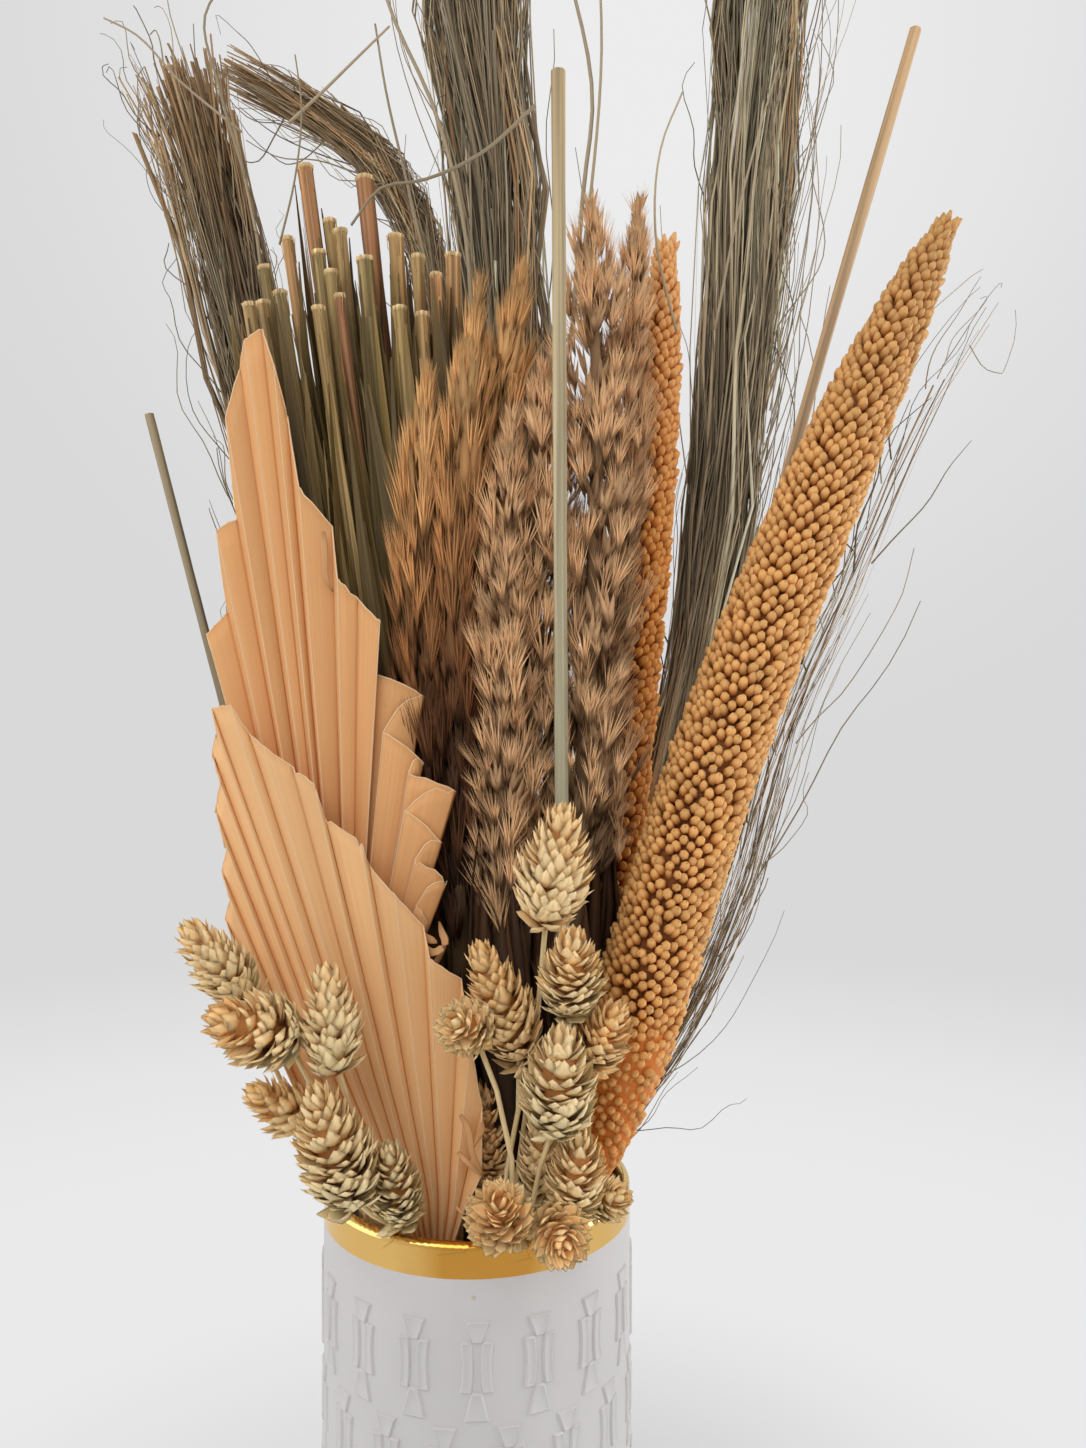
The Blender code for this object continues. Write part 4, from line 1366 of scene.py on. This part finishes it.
def straw_wall(batch, look, route, rim, straw, own, rng):
    """The hollow wall: stained and painted dark as shade at its foot, flared and pale where it is cut, and its
    bore.
    """
    red, cut = np.array(look.red), np.array(look.cut)
    top = route.length
    radius, foot = route.outlines[-1].mean(), route.outlines[0].mean()
    where = np.r_[0, np.linspace(rim, top - 1.5 * MM, 20), top - 1.0 * MM, top - 0.2 * MM, top]
    radii = np.interp(where, (0, rim, top - 1.5 * MM, top - 1.0 * MM, top),
                      (foot, radius * 0.92, radius, radius * 1.05, radius * 1.12))
    radii = radii * (1 + 0.02 * rng.normal(size=len(where)))
    level = np.clip((where - rim) / (top - rim), 0, 1)[:, None]
    stain = (0.3 + 0.7 * STRAW_LOOKS[straw][1]) * (1 - level) * 0.8
    # Painted shade and light: dark towards the foot, lighter than its own tone near the top.
    light = np.interp(level, (0, 0.6, 0.8, 1), (0.2, 0.42, 0.85, 1.15))
    tones = (own * (1 - stain) + red * stain) * light
    tones = tones * (1 - (1 - level) * np.array([0.0, 0.25, 0.45]))
    tones[-3:] = cut * np.array([[0.75], [1.0], [1.05]])
    bore = radius * BORE
    # Painted shade down inside the bore.
    turned(batch, route, np.r_[where, top + 0.15 * MM, top, top - 6 * MM, top - 14 * MM],
           np.r_[radii, (radius + bore) / 2, bore, bore * 0.98, bore * 0.9], 14,
           np.r_[tones, [cut, cut * 0.8, own * 0.4, own * 0.15]], straw * 1.7, 0.065, rng)


def straw_strips(batch, route, begin, rise, straw, tones, rng):
    """Loose strips of sheath that run up along a straw."""
    t = np.linspace(0, 1, 12)
    for angle, tone in zip(STRIP_ANGLES, tones):
        place = np.linspace(begin, route.length - rise * rng.uniform(0.0, 0.3) - 2 * MM, 12)
        out = route.outward(place, np.full(12, angle + rng.uniform(-0.4, 0.4)))
        strip = route.centre(place) + out * route.outlines[-1].mean() * 1.12
        wide = rng.uniform(0.3, 0.65) * MM * np.interp(t, (0, 0.1, 0.85, 1), (0.3, 1, 1, 0.2))
        # Painted shade towards the foot of each strip.
        add_tubes(batch, strip[None], wide[None], 4, tone * np.linspace(0.5, 1.1, 12)[None, :, None],
                  straw, flat=0.4, lean=np.cross(out[6], [0, 0, 1])[None])


def straw_splinters(batch, route, straw, own, cut, rng):
    """Thin splinters that stand off just below the cut."""
    count, along = 6, np.linspace(0, 1, 3)[None]
    radius = route.outlines[-1].mean()
    spot = (route.length - rng.uniform(4, 9, (count, 1)) * MM * (1 - along)
            + rng.uniform(0.2, 1.8, (count, 1)) * MM * along)
    turn = rng.uniform(-math.pi, math.pi, (count, 1)) + rng.normal(size=(count, 1)) * 0.3 * along
    apart = radius * 1.02 + rng.uniform(0, 0.8, (count, 1)) * MM * along**2
    splits = route.centre(spot) + route.outward(spot, turn) * apart[..., None]
    size = np.array([[0.22, 0.18, 0.06]]) * MM * rng.uniform(0.5, 1.5, (count, 1))
    add_tubes(batch, splits, size, 3, np.array([own * 0.9, own * 1.1, cut])[None], straw + 30, 0.5)


def straw_crown(batch, route, straw, cut, rng):
    """Pale torn stubs round the cut."""
    count, along = 8, np.linspace(0, 1, 3)[None]
    radius = route.outlines[-1].mean()
    turn = rng.uniform(-math.pi, math.pi, (count, 1)) + rng.normal(size=(count, 1)) * 0.15 * along
    rise = np.array([[-1.4, 0.1, 0.0]]) + rng.uniform(-0.1, 0.9, (count, 1)) * along
    spot = route.length + rise * MM
    crown = route.centre(spot) + route.outward(spot, turn) * (radius * (1.02 + 0.14 * along))[..., None]
    size = np.array([[0.3, 0.34, 0.16]]) * MM * rng.uniform(0.7, 1.3, (count, 1))
    add_tubes(batch, crown, size, 3, cut * np.array([0.8, 1.0, 1.1])[None, :, None], straw + 60, 0.6)


def model_straw(look, straw, node, rng):
    """One hollow straw with its sheath, its leaves, its loose strips and its torn rim."""
    green, tan, red, cut = (np.array(c) for c in (look.green, look.tan, look.red, look.cut))
    pale, reddish = STRAW_LOOKS[straw]
    brown = max(pale - 1, 0)
    own = green * (1 - min(pale, 1)) + tan * (min(pale, 1) - brown) + red * brown
    own = own * rng.uniform(0.85, 1.1)
    shade = own * (1 - 0.6 * reddish) + red * 0.6 * reddish
    route = Route(swept_rings(node))
    rim, top = route.height_at(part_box("vase")[1].z), route.length
    rise = top - rim
    made = Batch()
    straw_wall(made, look, route, rim, straw, own, rng)
    begin = rim + rise * rng.uniform(0.0, 0.2)
    end = top - rise * rng.uniform(0.1, 0.5) * (1 if straw % 3 else 0.3)
    swell = np.interp(np.linspace(0, 1, 14), (0, 0.1, 0.8, 1), (1.03, 1.13, 1.1, 1.03))
    # Painted shade: the sheath darkens towards its foot.
    turned(made, route, np.linspace(begin, end, 14), route.outlines[-1].mean() * swell, 12,
           shade * np.linspace(0.6, 1.08, 14)[:, None], 90 + straw, 0.05, rng)
    # Painted shade: the long leaves low among the straws are darkened, to between a quarter and 0.85 of the
    # green.
    deep = green * np.array([1.05, 0.92, 0.76]) * rng.uniform(0.24, 0.85, (20, 1))
    leaf_blades(made, route, (rim, rim + 0.01), (rim + rise * 0.55, rim + rise * 0.99),
                11 * MM, 7 * MM, deep, rng)
    straw_strips(made, route, begin, rise, straw, (tan * 0.8, own * 0.7, shade, own * 1.15), rng)
    straw_splinters(made, route, straw, own, cut, rng)
    leaf_blades(made, route, (rim + 0.03, rim + rise * 0.4), (top - 0.05, top - 0.008),
                5 * MM, 2.0 * MM, np.array([own * 0.95, shade, green * 1.15, own * 1.1]), rng)
    straw_crown(made, route, straw, cut, rng)
    return made


class DRIED_OT_straws(bpy.types.Operator):
    """Model the hollow cut straws with their sheaths and leaves"""

    bl_idname = "dried.straws"
    bl_label = "Straws"

    def execute(self, context):
        look = context.scene.dried_straws
        finish = plant_material("straw", 1100, 9, 2.4, 0.55, 0.3 * MM)
        for straw in STRAW_LOOKS:
            node = f"straw_{straw}"
            made = model_straw(look, straw, node, np.random.default_rng(500 + straw))
            sharpen(show(made.mesh(node + "_stalk"), finish, "straw", node))
        return {"FINISHED"}


def model_stick(node, own, rng):
    """One bare stick, a little uneven, with a pale cut top."""
    low, high = (np.array(tone) for tone in STICK_TONES[node])
    route = Route(swept_rings(node))
    radius = route.outlines[-4].mean()
    where = np.linspace(0, route.length, 60)
    share = np.clip((where / route.length - 0.35) / 0.65, 0, 1)[:, None] ** 1.5
    swell = 1 + 0.03 * np.sin(where * 60 + own) + 0.012 * rng.normal(size=60)
    tone = low * (1 - share) + high * share
    cut = high * 1.15
    where = np.r_[where[:-1], route.length + np.array([-0.3, 0.0, 0.2]) * MM]
    made = Batch()
    turned(made, route, where, np.r_[radius * swell, radius * swell[-1], radius * 0.8], 16,
           np.r_[tone[:-1], tone[-2:-1], [cut * 0.9], [cut]], own * 3.0, 0.03, rng)
    return made


class DRIED_OT_sticks(bpy.types.Operator):
    """Model the bare sticks"""

    bl_idname = "dried.sticks"
    bl_label = "Sticks"

    def execute(self, context):
        finish = plant_material("stick", 1100, 8, 2.0, 0.5, 0.2 * MM)
        for seed, node in enumerate(STICK_TONES):
            made = model_stick(node, seed, np.random.default_rng(700 + seed))
            sharpen(show(made.mesh(node + "_stalk"), finish, "stick", node))
        return {"FINISHED"}


# ---------------------------------------------------------------- broom grass

# Each bundle: how grey (0) or brown (1) it is, how far its strands part at the tip, how many of its fibres
# stop on the way up, how ragged its tip is, the width of a fibre against the usual one, how pale its fibres
# are, and its loose hairs: the way that they leave, how many, how long and how far apart they get in
# millimetres.
Bundle = namedtuple("Bundle", "browner parting stopping ragged wide light away hairs run apart")

BUNDLES = {
    "broom_grass_left": Bundle(0.7, 1.0, 0.2, 0.06, 1.15, 0.06, (-1.0, -0.1, 0.0), 150, 70, 15),
    "broom_grass_bent": Bundle(0.55, 0.9, 0.2, 0.1, 0.85, 0.06, (0.0, -0.1, -1.0), 150, 60, 26),
    "broom_grass_middle": Bundle(0.4, 0.9, 0.3, 0.02, 1.2, 0.06, (-1.0, -0.1, 0.0), 120, 130, 28),
    "broom_grass_right": Bundle(0.35, 0.7, 0.15, 0.02, 1.25, 0.3, (1.0, -0.1, 0.0), 190, 130, 22),
    "broom_grass_trailing": Bundle(0.4, 1.7, 0.98, 0.1, 0.42, 0.06, (-1.0, 0.1, 0.0), 90, 100, 26),
}

# Bundles whose cut tips show, and their tone.
CUT_BUNDLES = ("broom_grass_left", "broom_grass_bent")
CUT_TONE = np.array(paint(190, 146, 96))

# Single stems that leave their bundle and curve on their own: points in millimetres, and their radius.
STRAYS = {
    "broom_grass_left": (
        (((-78, 10, 536), (-98, 8, 552), (-112, 6, 566), (-121, 5, 570)), 0.5),
        (((-76, 8, 520), (-84, 6, 548), (-88, 5, 572), (-82, 5, 582)), 0.6),
    ),
    "broom_grass_bent": (
        (((-63, 12, 540), (-50, 8, 549), (-38, 7, 560), (-29, 6, 568)), 0.6),
        (((-66, 12, 500), (-60, 8, 520), (-58, 8, 545), (-60, 8, 560)), 0.4),
    ),
    "broom_grass_middle": (
        (((-2, 12, 462), (-6, 14, 510), (-16, 16, 548), (-30, 18, 580), (-38, 20, 606)), 0.9),
        (((30, 12, 470), (34, 14, 520), (37, 16, 550), (30, 18, 590), (24, 20, 612)), 0.9),
        (((28, 12, 460), (36, 14, 515), (40, 16, 565), (39, 18, 606)), 0.7),
        (((18, 2, 540), (0, -2, 522), (-18, -4, 513), (-30, -4, 511), (-40, -2, 500)), 0.7),
        (((-16, 8, 486), (-24, 6, 520), (-30, 6, 546), (-34, 8, 570)), 0.6),
    ),
    "broom_grass_right": (
        (((76, 6, 470), (84, 4, 510), (92, 4, 540), (97, 6, 556)), 0.5),
        (((64, 8, 470), (57, 6, 500), (59, 6, 530), (66, 8, 548)), 0.5),
    ),
}

# How far loose hairs may go past the box of everything modelled before them.
HAIR_MARGIN = np.array([3.0, 3.0, 6.0]) * MM

STRANDS = 34
STATIONS = 10


def in_disc(count, least, rng):
    """Random places in a ring-shaped part of the unit disc."""
    angle, depth = rng.uniform(-math.pi, math.pi, count), np.sqrt(rng.uniform(least, 1.0, count))
    return np.c_[depth * np.cos(angle), depth * np.sin(angle)]


def bundle_paths(route, rim, bundle, count, rng):
    """Fibres that run in strands, which cross and sway on their way up a bundle."""
    begin, end = in_disc(STRANDS, 0.1, rng) * 0.9, in_disc(STRANDS, 0.05, rng) * 0.92
    begin, end = begin[np.argsort(begin[:, 0])], end[np.argsort(end[:, 0] + rng.normal(size=STRANDS) * 0.9)]
    mine = rng.integers(0, STRANDS, count)
    stop = route.length * (1 - np.abs(rng.normal(size=count)) * bundle.ragged)
    early = rng.random(count) < bundle.stopping
    sooner = 3.0 if bundle.stopping > 0.5 else 1.0
    short = rim + (route.length - rim) * rng.uniform(0.12, 0.97, count) ** sooner
    stop = np.where(early, short, stop)
    where = rim + (stop[:, None] - rim) * np.linspace(0, 1, STATIONS - 1)[None]
    where = np.concatenate([np.zeros((count, 1)), where], axis=1)
    rise = np.clip((where - rim) / (route.length - rim), 0, 1)[..., None]
    bend = rng.uniform(16, 40, (STRANDS, 1, 2)), rng.uniform(0, 6.3, (STRANDS, 1, 2))
    own = rng.normal(size=(count, 1, 2)) * (0.08 + 0.06 * rise)
    spread = 0.7 + 0.3 * min(bundle.parting, 1)
    spot = (begin[mine][:, None] * (1 - rise) + end[mine][:, None] * rise * spread
            + np.sin(where[..., None] * bend[0][mine] + bend[1][mine]) * 0.24
            + np.sin(where[..., None] * rng.uniform(20, 80, (count, 1, 2)) + own * 60)
            * rng.uniform(0.0, 0.22, (count, 1, 1)) + own)
    wider = 1 + max(bundle.parting - 1, 0) * rise
    spot = spot * wider
    size = np.linalg.norm(spot, axis=-1, keepdims=True)
    most = np.where(rng.random((count, 1, 1)) < 0.15, 1.45, 1.1) * wider
    spot = spot / np.maximum(size, 1e-9) * np.minimum(most, size)
    turn = np.arctan2(spot[..., 1], spot[..., 0])
    reach = route.reach(where, turn) * np.linalg.norm(spot, axis=-1)
    depth = np.linalg.norm(spot / wider, axis=-1)
    return route.centre(where) + route.outward(where, turn) * reach[..., None], mine, depth


def fibre_tones(look, bundle, mine, depth, rng):
    """One tone for each fibre, close to its strand's, with painted shade that darkens it deep in the bundle."""
    grey, brown, pale = (np.array(c) for c in (look.grey, look.brown, look.pale))
    count = len(mine)
    strand = rng.normal(size=(mine.max() + 1, 2))
    mix = np.clip(bundle.browner + strand[mine, :1] * 0.3 + rng.normal(size=(count, 1)) * 0.2, 0, 1)
    warm = np.where(strand[mine, :1] > 0.9, (1.05, 0.9, 0.76), (1.0, 1.0, 1.0))
    light = np.clip(rng.normal(size=(count, 1)) * 0.5 + bundle.light, 0, 1)
    shade = np.exp(strand[mine, 1:] * 0.4 + rng.normal(size=(count, 1)) * 0.3)
    tone = ((grey * (1 - mix) + brown * mix * warm) * (1 - light) + pale * light) * shade
    # Painted shade: fibres deep in the bundle darken, to 0.3 of their tone, 0.7 on the trailing bundle.
    least = 0.7 if bundle.stopping > 0.5 else 0.3
    return tone[:, None, :] * (least + (1.05 - least) * depth.clip(0, 1) ** 1.5)[..., None]


def loose_hairs(route, rim, bundle, rng):
    """Hairs that lift off a bundle, go along beside it and wave apart from it."""
    count, t = bundle.hairs, np.linspace(0, 1, 12)[None]
    lower = 2 if bundle.stopping > 0.5 else 1
    begin = rim + (route.length * 0.97 - rim) * rng.random((count, 1)) ** lower
    ahead = rng.uniform(0.3, 1.0, (count, 1)) * bundle.run * MM
    where = begin + np.minimum(ahead, route.length * 1.01 - begin) * t
    turn = rng.uniform(-math.pi, math.pi, (count, 1)) + 0 * t
    away = unit(np.array(bundle.away)) * rng.uniform(0.0, 1.0, (count, 1, 1))
    out = unit(route.outward(where, turn) * 0.5 + away)
    far = rng.uniform(0.1, 1.0, (count, 1)) ** 1.5 * bundle.apart * MM
    gap = far * np.sin(t * rng.uniform(1.2, 3.0, (count, 1)))
    wave = np.sin(t * rng.uniform(4, 13, (count, 1)) + rng.uniform(0, 6.3, (count, 1))) * 3 * MM * t
    curl = unit(rng.normal(size=(count, 1, 3)) * np.array([1, 0.5, 1]))
    return (route.centre(where) + out * (route.reach(where, turn) * 0.9 + gap)[..., None]
            + curl * wave[..., None])


def model_bundle(look, node, bundle, seed, low, high):
    """One bundle of broom grass: its fibres, its strays, and its loose hairs between two corners."""
    rng = np.random.default_rng(800 + seed)
    brown, pale = np.array(look.brown), np.array(look.pale)
    route = Route(swept_rings(node))
    rim = route.height_at(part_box("vase")[1].z)
    count = look.fibres if node != "broom_grass_trailing" else look.fibres // 6
    paths, mine, depth = bundle_paths(route, rim, bundle, count, rng)
    size = look.width / 2 * bundle.wide * np.exp(rng.normal(size=(count, 1)) * 0.45).clip(0.35, 2.2)
    size = size * np.where(rng.random((count, 1)) < 0.1, 1.8, 0.95)
    tones = fibre_tones(look, bundle, mine, depth, rng)
    if node in CUT_BUNDLES:
        tones[:, -1] = tones[:, -1] * 0.5 + CUT_TONE * 0.5
    made = Batch()
    add_tubes(made, paths, size * np.linspace(1.0, 0.7, STATIONS), 3, np.minimum(tones, 0.8), seed,
              flat=0.35, lean=unit(rng.normal(size=(count, 3))))
    hairs = np.clip(loose_hairs(route, rim, bundle, rng), low, high)
    hair_size = np.linspace(0.27, 0.13, hairs.shape[1])[None] * MM * rng.uniform(0.6, 1.4, (bundle.hairs, 1))
    hair_tone = (brown * 0.3 + pale * 0.4) * rng.uniform(0.4, 1.3, (bundle.hairs, 1, 1))
    add_tubes(made, hairs, hair_size, 3, hair_tone, seed + 50)
    for points, radius in STRAYS.get(node, ()):
        path = curve_through(points, 16)[None]
        stray_tone = (pale * 0.5 + brown * 0.3) * rng.uniform(0.7, 1.1)
        add_tubes(made, path, np.linspace(radius, radius * 0.6, 16)[None] * MM, 5, stray_tone, seed)
    return made


class DRIED_OT_broom_grass(bpy.types.Operator):
    """Model the bundles of broom grass, fibre by fibre, with their loose hairs"""

    bl_idname = "dried.broom_grass"
    bl_label = "Broom grass"

    def execute(self, context):
        look = context.scene.dried_broom
        finish = plant_material("broom grass", 2600, 30, 0.6, 0.6, 0.08 * MM)
        low, high = (np.array(corner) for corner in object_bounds())
        for seed, (node, bundle) in enumerate(BUNDLES.items()):
            made = model_bundle(look, node, bundle, seed, low - HAIR_MARGIN, high + HAIR_MARGIN)
            show(made.mesh(node + "_fibres"), finish, "broom_grass", node)
        return {"FINISHED"}


# ---------------------------------------------------------------- stage

# Where the lamps point: the middle of the bouquet.
LAMP_AIM = Vector((0, 0, 0.33))

def fade(tree, distance, start_at, end_at, near, tone):
    """A shader that goes over into an even glow of one tone with distance."""
    share = stretch(tree, distance, start_at, end_at, shape="SMOOTHSTEP")
    far = add(tree, "Emission", {"Color": (*tone, 1)}).outputs["Emission"]
    return add(tree, "MixShader", {"Fac": share, 1: near, 2: far}).outputs["Shader"]


def model_floor(look):
    """A round floor that keeps the shadow near the vase and goes over into the tone of the wall."""
    deselect()
    bpy.ops.mesh.primitive_circle_add(vertices=96, radius=6.0, fill_type="NGON")
    floor = start("floor")
    floor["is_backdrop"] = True
    material = bpy.data.materials.new("pale floor")
    material.use_nodes = True
    tree = material.node_tree
    matt = tree.nodes["Principled BSDF"]
    feed(tree, matt.inputs["Base Color"], (*look.floor, 1))
    feed(tree, matt.inputs["Roughness"], 0.8)
    place = add(tree, "TexCoord").outputs["Object"]
    distance = add(tree, "VectorMath", {0: place}, operation="LENGTH").outputs["Value"]
    plain = fade(tree, distance, 0.1, 0.34, matt.outputs["BSDF"], look.floor)
    whole = fade(tree, distance, 0.45, 1.4, plain, look.wall)
    feed(tree, tree.nodes["Material Output"].inputs["Surface"], whole)
    floor.data.materials.append(material)


def light_sky(look, scene):
    """Soft light from all round. What is seen is a pale wall that is lit behind the bouquet."""
    scene.world = bpy.data.worlds.new("soft sky")
    scene.world.use_nodes = True
    tree = scene.world.node_tree
    light = tree.nodes["Background"]
    feed(tree, light.inputs["Color"], (1.0, 0.99, 0.975, 1))
    feed(tree, light.inputs["Strength"], look.sky)
    toward = add(tree, "TexCoord").outputs["Generated"]
    off_middle = add(tree, "VectorMath", {0: toward, 1: (0.08, 0.86, 0.5)}, operation="DISTANCE")
    halo = stretch(tree, off_middle.outputs["Value"], 0.6, 0.05, shape="SMOOTHSTEP")
    wall = add(tree, "Background", {"Color": blend(tree, halo, (*look.wall, 1), (*look.halo, 1))})
    rays = add(tree, "LightPath").outputs
    seen = reckon(tree, "MAXIMUM", rays["Is Camera Ray"], rays["Is Glossy Ray"])
    seen = reckon(tree, "MAXIMUM", seen, rays["Is Transmission Ray"])
    both = {"Fac": seen, 1: light.outputs["Background"], 2: wall.outputs["Background"]}
    feed(tree, tree.nodes["World Output"].inputs["Surface"], add(tree, "MixShader", both).outputs["Shader"])


def hang_lamps(look, scene):
    """Three large lamps that point at the bouquet."""
    for name, watts, size, spot in (("front lamp", look.front_lamp, 1.2, (-0.5, -1.1, 1.4)),
                                    ("left lamp", look.left_lamp, 1.0, (-1.4, -0.1, 0.5)),
                                    ("right lamp", look.right_lamp, 1.0, (1.4, 0.0, 0.5))):
        data = bpy.data.lights.new(name, "AREA")
        data.size, data.energy = size, watts
        lamp = bpy.data.objects.new(name, data)
        scene.collection.objects.link(lamp)
        lamp.visible_camera = False
        lamp.location = spot
        lamp.rotation_euler = (LAMP_AIM - lamp.location).to_track_quat("-Z", "Y").to_euler()


def set_camera(scene):
    """A level camera in front of the bouquet."""
    camera = bpy.data.cameras.new("camera")
    camera.sensor_width, camera.lens = 36.0, 27.05
    viewer = bpy.data.objects.new("camera", camera)
    scene.collection.objects.link(viewer)
    viewer.location = (20.6 * MM, -345.6 * MM, 342.5 * MM)
    viewer.rotation_euler = (math.radians(90), 0, 0)
    scene.camera = viewer


class DRIED_OT_stage(bpy.types.Operator):
    """Set the pale floor, the lamps, the sky and the camera"""

    bl_idname = "dried.stage"
    bl_label = "Stage"

    def execute(self, context):
        look, scene = context.scene.dried_stage, context.scene
        model_floor(look)
        light_sky(look, scene)
        hang_lamps(look, scene)
        set_camera(scene)
        scene.view_settings.view_transform = "Standard"
        return {"FINISHED"}


# ---------------------------------------------------------------- panel and registration

SETTINGS = {"dried_vase": VaseSettings, "dried_palms": PalmSettings, "dried_millet": MilletSettings,
            "dried_canary": CanarySettings, "dried_plumes": PlumeSettings, "dried_straws": StrawSettings,
            "dried_broom": BroomSettings, "dried_stage": StageSettings}
OPERATORS = (DRIED_OT_vase, DRIED_OT_palms, DRIED_OT_millet, DRIED_OT_canary_grass, DRIED_OT_plumes,
             DRIED_OT_straws, DRIED_OT_sticks, DRIED_OT_broom_grass, DRIED_OT_stage)


class DRIED_PT_panel(bpy.types.Panel):
    """The steps that build the dried flowers, with their settings"""

    bl_idname = "DRIED_PT_panel"
    bl_label = "Vase of dried flowers"
    bl_space_type = "VIEW_3D"
    bl_region_type = "UI"
    bl_category = "Dried flowers"

    def draw(self, context):
        for operator in OPERATORS:
            self.layout.operator(operator.bl_idname)
        for name, settings in SETTINGS.items():
            box = self.layout.box()
            for prop in settings.__annotations__:
                box.prop(getattr(context.scene, name), prop)


def register():
    """Adds the settings, the operators and the panel."""
    for cls in (*SETTINGS.values(), *OPERATORS, DRIED_PT_panel):
        bpy.utils.register_class(cls)
    for name, settings in SETTINGS.items():
        setattr(bpy.types.Scene, name, bpy.props.PointerProperty(type=settings))


def unregister():
    """Takes the settings, the operators and the panel away."""
    for name in SETTINGS:
        delattr(bpy.types.Scene, name)
    for cls in reversed((*SETTINGS.values(), *OPERATORS, DRIED_PT_panel)):
        bpy.utils.unregister_class(cls)


def main():
    """Builds the whole object with the settings as they are."""
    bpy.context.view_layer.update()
    register()
    bpy.ops.dried.stage()
    bpy.ops.dried.vase()
    bpy.ops.dried.palms()
    bpy.ops.dried.millet()
    bpy.ops.dried.canary_grass()
    bpy.ops.dried.plumes()
    bpy.ops.dried.straws()
    bpy.ops.dried.sticks()
    bpy.ops.dried.broom_grass()


if __name__ == "__main__":
    main()
